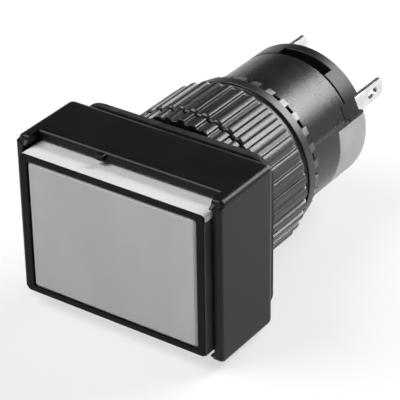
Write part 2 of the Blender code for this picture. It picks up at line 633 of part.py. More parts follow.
def strip_along(name, path, thickness, width, material):
    """Bend a flat strip along a path of square turns in the XY plane."""
    left, right = [], []
    for i, point in enumerate(path):
        here = Vector(point)
        ahead = (Vector(path[min(i + 1, len(path) - 1)]) - here)
        behind = (here - Vector(path[max(i - 1, 0)]))
        if ahead.length == 0:
            ahead = behind
        if behind.length == 0:
            behind = ahead
        ahead.normalize()
        behind.normalize()
        normal_ahead = Vector((-ahead.y, ahead.x))
        normal_behind = Vector((-behind.y, behind.x))
        mitre = normal_ahead + normal_behind
        mitre *= thickness / mitre.dot(normal_ahead) / 2
        left.append(here + mitre)
        right.append(here - mitre)
    outline = left + right[::-1]
    return prism(name, outline, lambda x, y, z: (x, y, z), -width / 2, width / 2, material)


def build_contact(name, side, terminal_x, material):
    """Spring clip: a hairpin round the lamp's pin, with an arm that lies on the terminal's root."""
    rear = CLIP_FRONT + CLIP_LENGTH
    front = CLIP_FRONT + CLIP_STRIP / 2
    inner = side * (PIN_OFFSET - CLIP_ARM_OFFSET)
    outer = side * (PIN_OFFSET + CLIP_ARM_OFFSET)
    path = [(inner, front), (inner, rear), (outer, rear), (outer, front)]
    seat = terminal_x - side * CLIP_SEAT
    if abs(seat - outer) > CLIP_STRIP:
        path += [(seat, front), (seat, rear)]
    return strip_along(name, path, CLIP_STRIP, CLIP_WIDTH, material)


def build_lamp_pin(name, side, material):
    """Flat pin from the lamp's board through the cup's floor into its clip."""
    x = side * PIN_OFFSET
    return block(name, (x - PIN_WIDTH / 2, PIN_FRONT, -PIN_THICKNESS / 2),
                 (x + PIN_WIDTH / 2, PIN_FRONT + PIN_LENGTH, PIN_THICKNESS / 2), material)


def build_lamp_cup(material):
    """Lamp housing: a cup that is open towards the board, with slots for the pins in its floor."""
    rear = LAMP_CUP_FRONT + LAMP_CUP_LENGTH
    floor = rear - LAMP_CUP_FLOOR
    cup = cylinder("lamp_cup", [(LAMP_RADIUS, LAMP_CUP_FRONT), (LAMP_RADIUS, rear)], material)
    cut(cup, cylinder("cup_cavity_tool", [(CUP_BORE, LAMP_CUP_FRONT - CUT_MARGIN), (CUP_BORE, floor)]))
    for name, side in (("right", 1), ("left", -1)):
        x = side * PIN_OFFSET
        half_width = PIN_WIDTH / 2 + CLEARANCE
        half_height = PIN_THICKNESS / 2 + CLEARANCE
        cut(cup, block(f"cup_{name}_pin_tool", (x - half_width, floor - CUT_MARGIN, -half_height),
                       (x + half_width, rear + CUT_MARGIN, half_height)))
    return cup


def build_lamp_board(material):
    """Round circuit board on the mouth of the cup, drilled for the LED's legs."""
    rear = BOARD_FRONT + BOARD_THICKNESS
    board = cylinder("lamp_board", [(LAMP_RADIUS, BOARD_FRONT), (LAMP_RADIUS, rear)], material)
    for name, side in (("right", 1), ("left", -1)):
        x = side * LED_LEG_SPACING / 2
        half = LED_LEG_WIDTH / 2 + CLEARANCE
        cut(board, block(f"board_{name}_hole_tool", (x - half, BOARD_FRONT - CUT_MARGIN, -half),
                         (x + half, rear + CUT_MARGIN, half)))
    return board


def build_lamp_led(material):
    """Cast LED: a rim, a round body with a domed tip, and two legs through the board."""
    tip = GUIDE_REAR - GUIDE_POCKET_DEPTH + LED_TIP_GAP
    turns = [math.radians(degrees) for degrees in (12, 30, 50, 70, 90)]
    dome = [(LED_RADIUS * math.sin(turn), tip + LED_RADIUS * (1 - math.cos(turn))) for turn in turns]
    rim_front = LED_REAR - LED_RIM_THICKNESS
    stations = dome + [(LED_RADIUS, rim_front), (LED_RIM_RADIUS, rim_front), (LED_RIM_RADIUS, LED_REAR)]
    led = cylinder("lamp_led", stations, material, segments=32)
    half = LED_LEG_WIDTH / 2
    for name, side in (("right", 1), ("left", -1)):
        x = side * LED_LEG_SPACING / 2
        join(led, block(f"led_{name}_leg_tool", (x - half, LED_REAR - LED_RIM_THICKNESS / 2, -half),
                        (x + half, BOARD_FRONT + BOARD_THICKNESS, half)))
    return led


def build_lamp_reflector(material):
    """Cone round the LED that throws its light at the guide, with a foot on the board."""
    foot = LED_RIM_RADIUS + CLEARANCE
    mouth = SPIGOT_RADIUS - CLEARANCE
    rear = LED_REAR
    front = rear - REFLECTOR_DEPTH
    profile = [(foot, rear), (foot + 2 * REFLECTOR_WALL, rear), (mouth, front),
               (mouth - REFLECTOR_WALL, front), (foot, rear - REFLECTOR_WALL)]
    return turned("lamp_reflector", profile, material, segments=48)


def build_upright_component(name, side, radius, length, material):
    """Round component that stands on the board beside the pins, its far lead bent back to the board."""
    offset = PIN_THICKNESS / 2 + CLEARANCE + COMPONENT_GAP + radius
    front = PIN_FRONT + LEAD_RISE
    rear = front + length
    round_off = radius / 4
    component = cylinder(name, [(radius - round_off, front), (radius, front + round_off),
                                (radius, rear - round_off), (radius - round_off, rear)],
                         material, segments=24)
    half = LEAD_THICKNESS / 2
    near_lead = block(f"{name}_near_lead_tool", (-half, PIN_FRONT, -half), (half, front + radius, half))
    join(component, near_lead)
    return_x = radius + CLEARANCE + half
    top = rear + CLEARANCE + half
    path = [(0.0, rear - radius), (0.0, top), (return_x, top), (return_x, PIN_FRONT)]
    join(component, strip_along(f"{name}_far_lead_tool", path, LEAD_THICKNESS, LEAD_THICKNESS, None))
    component.location = (0.0, 0.0, side * offset)
    return component


def build_indicator():
    black = plastic("black_plastic", (0.012, 0.012, 0.013), 0.42)
    ring_black = plastic("ring_plastic", (0.018, 0.018, 0.019), 0.38)
    socket_grey = plastic("socket_plastic", (0.030, 0.030, 0.032), 0.40)
    base_black = plastic("base_plastic", (0.040, 0.040, 0.042), 0.45)
    latch_grey = plastic("latch_plastic", (0.300, 0.300, 0.305), 0.45)
    white = plastic("holder_plastic", (0.780, 0.780, 0.760), 0.40)
    milky = plastic("guide_acrylic", (0.820, 0.830, 0.830), 0.30, alpha=0.8)
    lens = plastic("lens_acrylic", (0.480, 0.480, 0.480), 0.25, alpha=0.9)
    rubber = plastic("seal_rubber", (0.020, 0.020, 0.020), 0.75)
    board = plastic("circuit_board", (0.020, 0.110, 0.050), 0.50)
    resistor = plastic("resistor_body", (0.420, 0.330, 0.210), 0.45)
    diode = plastic("diode_body", (0.015, 0.015, 0.015), 0.35)
    epoxy = plastic("led_epoxy", (0.800, 0.800, 0.780), 0.10, alpha=0.6)
    tin = metal("tin_plate", (0.780, 0.770, 0.740), 0.28)
    bronze = metal("spring_bronze", (0.700, 0.450, 0.220), 0.30)

    build_case(black)
    build_display_lens(lens)
    build_display_frame(black)
    build_legend_plate(milky)
    build_light_guide(milky)
    build_display_holder(white)
    build_display_seal(rubber)
    build_panel_gasket(rubber)
    build_lock_ring(ring_black)
    build_mounting_ring(ring_black)
    build_socket_body(socket_grey)
    build_terminal_base(base_black)
    build_side_latch("side_latch_right", 1, latch_grey)
    build_side_latch("side_latch_left", -1, latch_grey)
    build_terminal("terminal_right", RIGHT_TERMINAL_X, RIGHT_TERMINAL_Z, tin)
    build_terminal("terminal_left", LEFT_TERMINAL_X, LEFT_TERMINAL_Z, tin)
    build_contact("contact_right", 1, RIGHT_TERMINAL_X, bronze)
    build_contact("contact_left", -1, LEFT_TERMINAL_X, bronze)
    build_lamp_pin("lamp_pin_right", 1, tin)
    build_lamp_pin("lamp_pin_left", -1, tin)
    build_lamp_cup(white)
    build_lamp_board(board)
    build_lamp_led(epoxy)
    build_lamp_reflector(white)
    build_upright_component("lamp_resistor", 1, RESISTOR_RADIUS, RESISTOR_LENGTH, resistor)
    build_upright_component("lamp_diode", -1, DIODE_RADIUS, DIODE_LENGTH, diode)


clear_scene()
build_indicator()
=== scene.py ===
"""Panel-mount LED indicator with a rectangular head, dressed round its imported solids.

Shapes are worked out in millimetres and put into meshes in metres. The lit front faces -Y and the
solder tabs point to +Y. Angles run round the barrel's axis from +X towards +Z.
"""
import math

import bmesh
import bpy
import numpy as np
from mathutils import Matrix, Vector


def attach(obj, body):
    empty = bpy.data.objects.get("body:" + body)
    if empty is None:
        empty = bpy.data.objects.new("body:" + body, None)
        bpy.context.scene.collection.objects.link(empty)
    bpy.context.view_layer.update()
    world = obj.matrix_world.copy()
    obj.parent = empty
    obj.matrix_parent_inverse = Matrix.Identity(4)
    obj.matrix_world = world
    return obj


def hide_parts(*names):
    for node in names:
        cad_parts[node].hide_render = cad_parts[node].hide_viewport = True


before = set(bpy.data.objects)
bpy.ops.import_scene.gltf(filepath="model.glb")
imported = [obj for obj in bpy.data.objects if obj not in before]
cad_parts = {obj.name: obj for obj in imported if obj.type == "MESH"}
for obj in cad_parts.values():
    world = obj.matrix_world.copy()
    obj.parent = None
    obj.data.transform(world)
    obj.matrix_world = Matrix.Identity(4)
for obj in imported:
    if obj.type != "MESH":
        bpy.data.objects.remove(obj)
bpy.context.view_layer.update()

MM = 0.001
FULL_TURN = 2 * math.pi
MERGE_DISTANCE = 1e-6
SHARP_ANGLE = math.radians(32)

# How wide a steep step is drawn, along a line and round the axis, and a guard beside a rounding
STEP = 0.04
TURN_STEP = 0.0012
GUARD = 0.05

# Head of the case
HEAD_HALF = (12.0, 9.0)
HEAD_CORNER = 0.6
RIM_FRONT = -9.2
RIM_OUTER_ROUND = 0.42
RIM_INNER_ROUND = 0.1
HEAD_REAR_ROUND = 0.9
HEAD_HOLE = 7.3
WALL = 0.9
WELL_CORNER = 0.28
WELL_FLOOR = -1.5
RECESS_DEPTH = 2.0
RECESS_END = 10.7
RECESS_LIP = 0.4
RECESS_LIP_LEVEL = 8.4
NIB_HALF = (0.4, 0.3)
NIB_MIDDLE = (-2.9, 8.55)
NIB_ENDS = (-7.8, -6.4)

# Barrel with its thread and keyway
BARREL_RADIUS = 7.8
BARREL_BORE = 6.5
BARREL_END = 13.7
BARREL_CHAMFER = 0.3
THREAD_PITCH = 1.0
THREAD_DEPTH = 0.38
THREAD_START = 1.3
THREAD_RUN_IN = 0.6
THREAD_RUN_OUT = 0.5
THREAD_WAVE_TOP = 1.6
THREAD_WAVE_SLOPE = 4.4
KEYWAY_BOTTOM = 7.2
KEYWAY_HALF = math.radians(7.4)

# Display stack
DISPLAY_HALF = (10.8, 7.8)
DISPLAY_FRONT = -10.2
DISPLAY_CORNER = 0.4
BORDER_REAR = -9.9
WINDOW_HALF = (9.95, 7.2)
LENS_HALF = (9.9, 7.15)
REBATE = 0.55
LENS_REAR = -9.3
LENS_BEVEL = 0.3
LENS_CAP = 0.5
HOLDER_FRONT = -9.88
HOLDER_SHOULDER = -8.0
HOLDER_FLOOR = -3.9
HOLDER_REAR = -2.9
HOLDER_WALL = 1.4
HOLDER_HOLE = 3.6
SIDE_STRIP = (10.3, 10.85)
SIDE_STRIP_TOP = 7.1
SIDE_STRIP_REAR = -5.0

# Gasket and rings behind the panel
RING_BORE = 8.1
GASKET_HALF = (11.2, 8.7)
GASKET_CORNER = 2.2
GASKET_ENDS = (0.3, 1.1)
GASKET_WIDTH = 3.1
LOCK_ENDS = (1.4, 3.5)
LOCK_RADIUS = 9.3
LOCK_BITES = 24
LOCK_BITE_DEPTH = 0.3
LOCK_BITE_REACH = 0.5
TONGUE_HALF = (0.7, 0.45)
TONGUE_ENDS = (1.75, 3.45)
TONGUE_HEIGHT = 7.95
GRIP_RADIUS = 9.5
GRIP_FRONT = 3.65
GRIP_BEVEL = 0.2
GRIP_REAR = 10.4
GRIP_CHAMFER = 0.5
NECK_RADIUS = 8.45
NECK_REAR = 11.55
CROWN_RADIUS = 8.75
CROWN_TIP = 8.5
CROWN_END = 13.7
TEETH = 30
TOOTH_TURN = math.radians(-2)
TOOTH_HEIGHT = 1.1
TOOTH_GAP = 0.22
TOOTH_FLANK = 0.05

# Ribs of the two rings. Half a rib runs from the middle of a valley to the middle of a top: shares of
# the rib's turn, and the share of the depth at each. A fade is (how far inside the rim the ribs start,
# over what distance they reach their depth).
RIBS = 40
RIB_DEPTH = 0.32
RIB_SHARES = (0.0, 0.16, 0.19, 0.25, 0.28, 0.32, 0.37, 0.43, 0.5)
RIB_DEPTHS = (1.0, 1.0, 0.92, 0.24, 0.15, 0.092, 0.048, 0.014, 0.0)
RIB_FLOOR_BREAK = 0.11
LOCK_FADE = (0.6, 0.4)
GRIP_FADE = (0.55, 0.45)

# Socket body, terminal base and side latches
SOCKET_FRONT = 14.0
SOCKET_REAR = 21.4
SOCKET_SIDE = 7.0
SPIGOT_RADIUS = 6.2
SPIGOT_FRONT = 5.0
CHAMBER_RADIUS = 5.4
CHAMBER_FLOOR = 11.7
KEY_HALF = (0.6, 0.45)
KEY_HEIGHT = -6.25
KEY_ENDS = (5.8, 14.4)
BASE_FRONT = 21.55
BASE_REAR = 24.25
BASE_CHAMFER = 0.15
GROOVES = (math.radians(24.5), math.radians(155.5))
GROOVE_HALF = math.radians(6.75)
GROOVE_BOTTOM = 7.1
LATCH_FRONT = 19.0
LATCH_INNER = 7.1
LATCHES = (math.radians(-21.5), math.radians(201.5))
LATCH_HALF = math.radians(36.5)
SEAM = 0.12
SLOT_MIDDLE = math.radians(80)
SLOT_HALF = math.radians(22)
SLOT_REAR = 22.9
SLOT_SINK = 1.2

# Solder tabs: plate centre line (x, z) of each
TABS = {"terminal_right": (5.4, 1.6), "terminal_left": (-4.2, 4.056)}
TAB_HALF = 1.1
TAB_THICKNESS = 0.5
TAB_TIP = 31.2
TAB_TAPER = 0.5
TAB_EDGE = 0.09
TAB_SINK = 0.1
EYE_RADIUS = 0.5
EYE_STRETCH = 0.4
EYE_FROM_TIP = 2.1
ROOT_HALF = 0.35
ROOT_LOW = -0.8
ROOT_FRONT = 15.5
ROOT_REAR = BASE_REAR + 0.3
ROOT_EDGE = 0.05
BASE_SLOT_GAP = 0.12
BASE_SLOT_DEPTH = 1.6

# Lamp: the LED's back lies against its circuit board
LED_RADIUS = 2.5
LED_DOME = -2.4
LED_RIM_RADIUS = 2.9
LED_RIM_FRONT = 3.4
LED_REAR = 4.4
LEG_HALF = 0.25
LEG_APART = 1.25
LEG_EDGE = 0.05
LEG_ENDS = (LED_REAR - 0.5, LED_REAR + 1.1)
REFLECTOR_FOOT = 3.2
REFLECTOR_FLARE = 2.1
REFLECTOR_DEPTH = 5.0
REFLECTOR_WALL = 0.6
REFLECTOR_RADIUS = 5.85


# Shapes as arrays


def softened(corners, radii, closed=True, steps=5):
    """Round the corners of a flat outline.

    A corner of radius r keeps its two edges up to r / tan(half its angle). Between the two ends
    runs the arc whose points are the sines of the turn still to come and of the turn done, each
    times its end's arm from the centre. A guard point on either side keeps the flats flat.
    """
    corners = np.asarray(corners, float)
    radii = np.asarray(radii, float)
    to_last = np.roll(corners, 1, axis=0) - corners
    to_next = np.roll(corners, -1, axis=0) - corners
    reach_last = np.linalg.norm(to_last, axis=1)
    reach_next = np.linalg.norm(to_next, axis=1)
    to_last /= reach_last[:, None]
    to_next /= reach_next[:, None]
    opening = np.arccos(np.clip((to_last * to_next).sum(axis=1), -1, 1))
    if not closed:
        radii = np.concatenate([[0], radii[1:-1], [0]])
        opening[[0, -1]] = math.pi / 2
    tangent = radii / np.tan(opening / 2)
    turn = math.pi - opening
    bisector = to_last + to_next
    bisector /= np.maximum(np.linalg.norm(bisector, axis=1), 1e-9)[:, None]
    centre = corners + bisector * (radii / np.sin(opening / 2))[:, None]
    first = corners + to_last * tangent[:, None]
    last = corners + to_next * tangent[:, None]
    share = np.linspace(0, 1, steps + 1)[None, :, None]
    sweep = np.maximum(np.sin(turn), 1e-9)[:, None, None]
    arm_first = (first - centre)[:, None]
    arm_last = (last - centre)[:, None]
    arc = centre[:, None] + (np.sin((1 - share) * turn[:, None, None]) * arm_first
                             + np.sin(share * turn[:, None, None]) * arm_last) / sweep
    arc = np.where((radii > 0)[:, None, None], arc, corners[:, None])
    spare_last = reach_last - tangent - np.roll(tangent, 1)
    spare_next = reach_next - tangent - np.roll(tangent, -1)
    before = first + to_last * np.minimum(GUARD, spare_last / 3)[:, None]
    after = last + to_next * np.minimum(GUARD, spare_next / 3)[:, None]
    points = np.concatenate([before[:, None], arc, after[:, None]], axis=1)
    if closed:
        return points.reshape(-1, 2)
    return np.concatenate([points[0, 1:], points[1:-1].reshape(-1, 2), points[-1, :-1]])


def grid_faces(rows, columns, close_rows):
    """Four-sided faces between the neighbours of a grid of points, whose columns always wrap round.

    A point's number is row * columns + column. The rows wrap round too where they close.
    """
    row = np.arange(rows if close_rows else rows - 1)[:, None]
    column = np.arange(columns)[None, :]
    here = row * columns
    ahead = (row + 1) % rows * columns
    beside = (column + 1) % columns
    corners = [here + column, here + beside, ahead + beside, ahead + column]
    return np.stack(corners, axis=-1).reshape(-1, 4)


def around(count, marks=(), spread=TURN_STEP / 2):
    """Angles of a full turn: count even steps, and two more close beside each marked angle."""
    even = np.arange(count) * FULL_TURN / count
    marks = np.asarray(marks, float)
    extra = np.concatenate([marks - spread, marks + spread]) % FULL_TURN
    return np.unique(np.round(np.concatenate([even, extra]), 7))


def apart(angle, middle):
    """How far an angle lies from a middle, the short way round."""
    return np.abs((angle - middle + math.pi) % FULL_TURN - math.pi)


def within(distance, half, soft=TURN_STEP):
    """1 inside a half width and 0 outside it, with a straight ramp of a soft width between."""
    return np.clip((half - distance) / soft + 0.5, 0, 1)


def turned(profile, angles, shape=None):
    """A (radius, y) profile carried round the barrel's axis.

    Each point is (radius cos angle, y, radius sin angle). The shape function may first change the
    radius and y of every point by its angle.
    """
    radius, angle = np.meshgrid(profile[:, 0], angles, indexing="ij")
    y = np.repeat(profile[:, 1][:, None], len(angles), axis=1)
    if shape is not None:
        radius, y = shape(radius, angle, y)
    return np.stack([radius * np.cos(angle), y, radius * np.sin(angle)], axis=-1)


def loops(half_x, half_z, corner, y, stops_x=(), stops_z=(), steps=6):
    """Round-cornered rectangles, one for each entry of the arrays.

    In the quarter x, z > 0 a loop runs up its side, round the corner and back along its top:
    x = min(stop, half_x - corner) + corner cos a, and z = min(stop, half_z - corner) + corner
    sin a. The stops hold chosen points on the straights. The other quarters mirror this one.
    """
    far = 1e3
    rise = np.concatenate([[0.0], stops_z, np.full(steps + 1, far), np.full(len(stops_x) + 1, far)])
    run = np.concatenate([np.full(len(stops_z) + 1, far), np.full(steps + 1, far), stops_x[::-1], [0.0]])
    angle = np.concatenate([np.zeros(len(stops_z) + 1), np.linspace(0, math.pi / 2, steps + 1),
                            np.full(len(stops_x) + 1, math.pi / 2)])
    half_x, half_z, corner, y = (np.asarray(v, float)[:, None] for v in (half_x, half_z, corner, y))
    x = np.minimum(run, half_x - corner) + corner * np.cos(angle)
    z = np.minimum(rise, half_z - corner) + corner * np.sin(angle)
    x = np.concatenate([x, -x[:, ::-1], -x, x[:, ::-1]], axis=1)
    z = np.concatenate([z, z[:, ::-1], -z, -z[:, ::-1]], axis=1)
    return np.stack([x, np.broadcast_to(y, x.shape), z], axis=-1)


def round_ended(inset, half, corner, hole):
    """Halves and corners of loops that are an outline moved in, and at a section's ends a circle.

    Near the greatest inset a loop's halves and corner are all the hole's radius. Elsewhere its
    halves are the outline's less the inset, and no flatter than the hole.
    """
    on_circle = inset > half[0] - hole - 0.2
    half_x = np.where(on_circle, hole, half[0] - inset)
    half_z = np.where(on_circle, hole, np.maximum(half[1] - inset, hole))
    return half_x, half_z, np.where(on_circle, hole, corner)


def capped(points):
    """Close a stack of loops: before the first and after the last comes the middle of that loop."""
    ends = points[[0, -1]].mean(axis=1, keepdims=True) * np.ones((1, points.shape[1], 1))
    return np.concatenate([ends[:1], points, ends[1:]])


def bar(half, corner, ends, edge, centre=(0.0, 0.0), steps=6, stops_x=()):
    """A straight bar along y with a round-cornered section and softened ends.

    Its profile is (inset, y): out from the middle of one end, along the side and back to the middle
    of the other end. The section at an inset is the outline moved in by it.
    """
    reach = min(half)
    low, high = ends
    profile = softened([(reach, low), (0, low), (0, high), (reach, high)], [0, edge, edge, 0],
                       closed=False)
    inset, y = profile.T
    points = loops(half[0] - inset, half[1] - inset, np.clip(corner - inset, 0, None), y,
                   stops_x=stops_x, steps=steps)
    points[..., 0] += centre[0]
    points[..., 2] += centre[1]
    return capped(points)


# Pieces from arrays


def piece(name, patches, material, body, nodes=(), sharp=SHARP_ANGLE):
    """Fill one mesh with closed patches and place it in the frame.

    A patch is (grid of points in millimetres, whether its rows close). Its columns always close.
    Points that fall together, as at poles, are merged, and the faces are turned outwards.
    """
    points, faces, start = [], [], 0
    for grid, close_rows in patches:
        rows, columns = grid.shape[:2]
        points.append(grid.reshape(-1, 3))
        faces.append(grid_faces(rows, columns, close_rows) + start)
        start += rows * columns
    points = np.concatenate(points) * MM
    faces = np.concatenate(faces)
    mesh = bpy.data.meshes.new(name)
    mesh.vertices.add(len(points))
    mesh.vertices.foreach_set("co", points.ravel())
    mesh.loops.add(faces.size)
    mesh.loops.foreach_set("vertex_index", faces.ravel())
    mesh.polygons.add(len(faces))
    mesh.polygons.foreach_set("loop_start", np.arange(len(faces)) * 4)
    mesh.update(calc_edges=True)
    tidy = bmesh.new()
    tidy.from_mesh(mesh)
    bmesh.ops.remove_doubles(tidy, verts=tidy.verts, dist=MERGE_DISTANCE)
    bmesh.ops.dissolve_degenerate(tidy, edges=tidy.edges, dist=MERGE_DISTANCE)
    bmesh.ops.recalc_face_normals(tidy, faces=tidy.faces)
    tidy.to_mesh(mesh)
    tidy.free()
    mesh.shade_smooth()
    mesh.set_sharp_from_angle(angle=sharp)
    made = bpy.data.objects.new(name, mesh)
    bpy.context.collection.objects.link(made)
    made.data.materials.append(material)
    if body is not None:
        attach(made, body)
    if nodes:
        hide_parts(*nodes)
    return made


def cut_through(target, tools):
    """Take the tools' shapes out of a piece for good, and remove the tools."""
    for tool in tools:
        modifier = target.modifiers.new(tool.name, "BOOLEAN")
        modifier.operation = "DIFFERENCE"
        modifier.object = tool
    graph = bpy.context.evaluated_depsgraph_get()
    result = bpy.data.meshes.new_from_object(target.evaluated_get(graph))
    target.modifiers.clear()
    old = target.data
    target.data = result
    result.name = target.name
    bpy.data.meshes.remove(old)
    for tool in tools:
        bpy.data.objects.remove(tool, do_unlink=True)
    result.shade_smooth()
    result.set_sharp_from_angle(angle=SHARP_ANGLE)


# Finishes


class Value:
    """A number that varies over a surface; arithmetic on it adds Math nodes."""

    def __init__(self, finish, socket):
        self.finish = finish
        self.socket = socket

    def math(self, operation, *others):
        """This value and the others through one Math node."""
        return self.finish.node("ShaderNodeMath", {"operation": operation},
                                dict(enumerate((self, *others))))

    def __add__(self, other):
        return self.math("ADD", other)

    def __mul__(self, other):
        return self.math("MULTIPLY", other)

    def __rsub__(self, other):
        return self.finish.node("ShaderNodeMath", {"operation": "SUBTRACT"}, {0: other, 1: self})

    __radd__ = __add__
    __rmul__ = __mul__

    def band(self, low, high):
        """0 at low, 1 at high, smooth between and held outside."""
        return self.finish.node("ShaderNodeMapRange", {"interpolation_type": "SMOOTHSTEP"},
                                {"Value": self, "From Min": low, "From Max": high,
                                 "To Min": 0.0, "To Max": 1.0})


class Finish:
    """One material: a Principled shader and the nodes that feed it."""

    def __init__(self, name):
        self.material = bpy.data.materials.new(name)
        self.material.use_nodes = True
        self.tree = self.material.node_tree
        self.shader = self.tree.nodes["Principled BSDF"]
        self.place = self.node("ShaderNodeTexCoord", output="Object")

    def node(self, kind, settings=None, inputs=None, output=0):
        """Add a node: its settings first, then the values or links of its sockets."""
        made = self.tree.nodes.new(kind)
        for key, setting in (settings or {}).items():
            setattr(made, key, setting)
        for key, entry in (inputs or {}).items():
            self.feed(made.inputs[key], entry)
        return Value(self, made.outputs[output])

    def feed(self, socket, entry):
        """Link a varying value to a socket, or write a constant on it."""
        if isinstance(entry, Value):
            self.tree.links.new(entry.socket, socket)
        elif isinstance(entry, (tuple, list)) and socket.type == "RGBA":
            socket.default_value = (*entry[:3], 1.0)
        else:
            socket.default_value = entry

    def set(self, **entries):
        """Fill the shader's sockets; an underscore in a name stands for a space."""
        for key, entry in entries.items():
            self.feed(self.shader.inputs[key.replace("_", " ")], entry)

    def noise(self, scale, detail=3.0, stretch=(1.0, 1.0, 1.0)):
        """Cloudy values between 0 and 1; the scale is in features per metre."""
        place = self.node("ShaderNodeMapping", {}, {"Vector": self.place, "Scale": stretch})
        return self.node("ShaderNodeTexNoise", {"noise_dimensions": "3D"},
                         {"Vector": place, "Scale": scale, "Detail": detail, "Roughness": 0.55})

    def specks(self, scale, size):
        """1 in small round grains and 0 between them."""
        distance = self.node("ShaderNodeTexVoronoi", {"feature": "F1"},
                             {"Vector": self.place, "Scale": scale}, output="Distance")
        return 1 - distance.band(size * 0.5, size)

    def blend(self, share, first, second):
        """A colour between two colours."""
        made = self.tree.nodes.new("ShaderNodeMix")
        made.data_type = "RGBA"
        self.feed(made.inputs["Factor"], share)
        self.feed(made.inputs[6], first)
        self.feed(made.inputs[7], second)
        return Value(self, made.outputs[2])

    def axis(self, letter):
        """One coordinate of the place on the surface, in metres."""
        return self.node("ShaderNodeSeparateXYZ", {}, {0: self.place}, output=letter)

    def bump(self, height, distance):
        """Small relief: the height's 0 to 1 stands for a distance in metres."""
        return self.node("ShaderNodeBump", {}, {"Height": height, "Distance": distance, "Strength": 1.0})


def moulded(name, dark, light, roughness, level, grain=6e-6):
    """Hard plastic from a fine-grained mould: soft cloudiness, faint dust and a spark-eroded grain."""
    finish = Finish(name)
    clouds = finish.noise(260.0, 4.0)
    pits = finish.noise(5200.0, 2.0)
    dust = finish.specks(1500.0, 0.12) * finish.noise(900.0).band(0.58, 0.72)
    colour = finish.blend(clouds.band(0.3, 0.7), dark, light)
    dusty = tuple(channel * 1.6 + 0.012 for channel in light)
    finish.set(Base_Color=finish.blend(dust * 0.5, colour, dusty),
               Roughness=clouds * 0.10 + pits * 0.06 + (roughness - 0.08) + dust * 0.08,
               Specular_IOR_Level=level,
               Normal=finish.bump(pits, grain))
    return finish.material


def milky(name, edge_colour, colour, roughness):
    """Milky acrylic: faint streaks from the moulding and an even, softly polished skin."""
    finish = Finish(name)
    streaks = finish.noise(140.0, 3.0, stretch=(1.0, 1.0, 0.35))
    ripple = finish.noise(420.0, 2.0)
    finish.set(Base_Color=finish.blend(streaks.band(0.25, 0.75), edge_colour, colour),
               Roughness=ripple * 0.06 + (roughness - 0.03),
               Subsurface_Weight=0.25,
               Subsurface_Scale=0.0008,
               Subsurface_Radius=(1.0, 1.0, 1.0),
               Normal=finish.bump(ripple, 2e-6))
    return finish.material


def rubber(name, colour):
    """Soft matte rubber with a talc-like bloom."""
    finish = Finish(name)
    bloom = finish.noise(700.0, 5.0)
    pale = tuple(channel * 2.2 + 0.004 for channel in colour)
    finish.set(Base_Color=finish.blend(bloom.band(0.45, 0.75), colour, pale),
               Roughness=bloom * 0.15 + 0.68,
               Specular_IOR_Level=0.35,
               Normal=finish.bump(bloom, 8e-6))
    return finish.material


def plated(name, colour, shade, roughness):
    """Plated sheet metal: rolling lines along the strip and small stains."""
    finish = Finish(name)
    lines = finish.noise(900.0, 4.0, stretch=(1.0, 0.05, 1.0))
    stains = finish.noise(1300.0, 3.0)
    tone = lines.band(0.35, 0.65) * 0.5 + stains.band(0.5, 0.75) * 0.5
    finish.set(Base_Color=finish.blend(tone, colour, shade),
               Metallic=1.0,
               Roughness=lines * 0.12 + stains * 0.1 + (roughness - 0.1),
               Normal=finish.bump(lines, 2e-6))
    return finish.material


def laminate(name):
    """Green circuit board with a woven core under the lacquer."""
    finish = Finish(name)
    warp = finish.axis("X") * 9000.0
    weft = finish.axis("Z") * 9000.0
    weave = warp.math("SINE") * weft.math("SINE") * 0.5 + 0.5
    finish.set(Base_Color=finish.blend(weave, (0.012, 0.085, 0.035), (0.025, 0.13, 0.06)),
               Roughness=weave * 0.1 + 0.35,
               Normal=finish.bump(weave, 4e-6))
    return finish.material


def banded(name, body_colour, bands, roughness):
    """A small component with printed rings: each band is (height from, height to, colour)."""
    finish = Finish(name)
    height = finish.axis("Z")
    grain = finish.noise(2500.0, 2.0)
    colour = finish.blend(grain.band(0.3, 0.7), body_colour, tuple(c * 1.15 for c in body_colour))
    for low, high, ring_colour in bands:
        inside = height.math("GREATER_THAN", low * MM) * height.math("LESS_THAN", high * MM)
        colour = finish.blend(inside, colour, ring_colour)
    finish.set(Base_Color=colour, Roughness=grain * 0.1 + roughness, Normal=finish.bump(grain, 4e-6))
    return finish.material


def clear_epoxy(name):
    """Water-clear cast epoxy with faint flow clouds."""
    finish = Finish(name)
    clouds = finish.noise(500.0, 3.0)
    finish.set(Base_Color=finish.blend(clouds.band(0.3, 0.7), (0.74, 0.75, 0.74), (0.82, 0.82, 0.8)),
               Roughness=clouds * 0.05 + 0.08,
               Alpha=clouds.band(0.2, 0.8) * 0.1 + 0.55)
    return finish.material


case_black = moulded("case_black", (0.0025, 0.0025, 0.003), (0.0045, 0.0045, 0.005), 0.34, 0.25)
ring_black = moulded("ring_black", (0.002, 0.002, 0.0025), (0.005, 0.005, 0.0055), 0.38, 0.8, grain=3e-6)
frame_black = moulded("frame_black", (0.002, 0.002, 0.002), (0.004, 0.004, 0.004), 0.45, 0.12)
# Side strips of the black border: a lighter grey copy of it, painted sheen standing in for the light its
# sides catch
border_side_painted_sheen = moulded("border_side_painted_sheen", (0.05, 0.05, 0.051), (0.063, 0.063, 0.064), 0.42, 0.3)
socket_black = moulded("socket_black", (0.004, 0.004, 0.005), (0.009, 0.009, 0.010), 0.28, 0.5, grain=4e-6)
base_black = moulded("base_black", (0.004, 0.004, 0.005), (0.008, 0.008, 0.009), 0.34, 0.35)
latch_grey = moulded("latch_grey", (0.42, 0.42, 0.425), (0.50, 0.50, 0.505), 0.45, 0.4)
holder_white = moulded("holder_white", (0.80, 0.80, 0.785), (0.86, 0.86, 0.845), 0.42, 0.4)
lamp_white = moulded("lamp_white", (0.72, 0.72, 0.70), (0.80, 0.80, 0.78), 0.4, 0.4)
lens_milk = milky("lens_milk", (0.43, 0.43, 0.43), (0.47, 0.47, 0.47), 0.3)
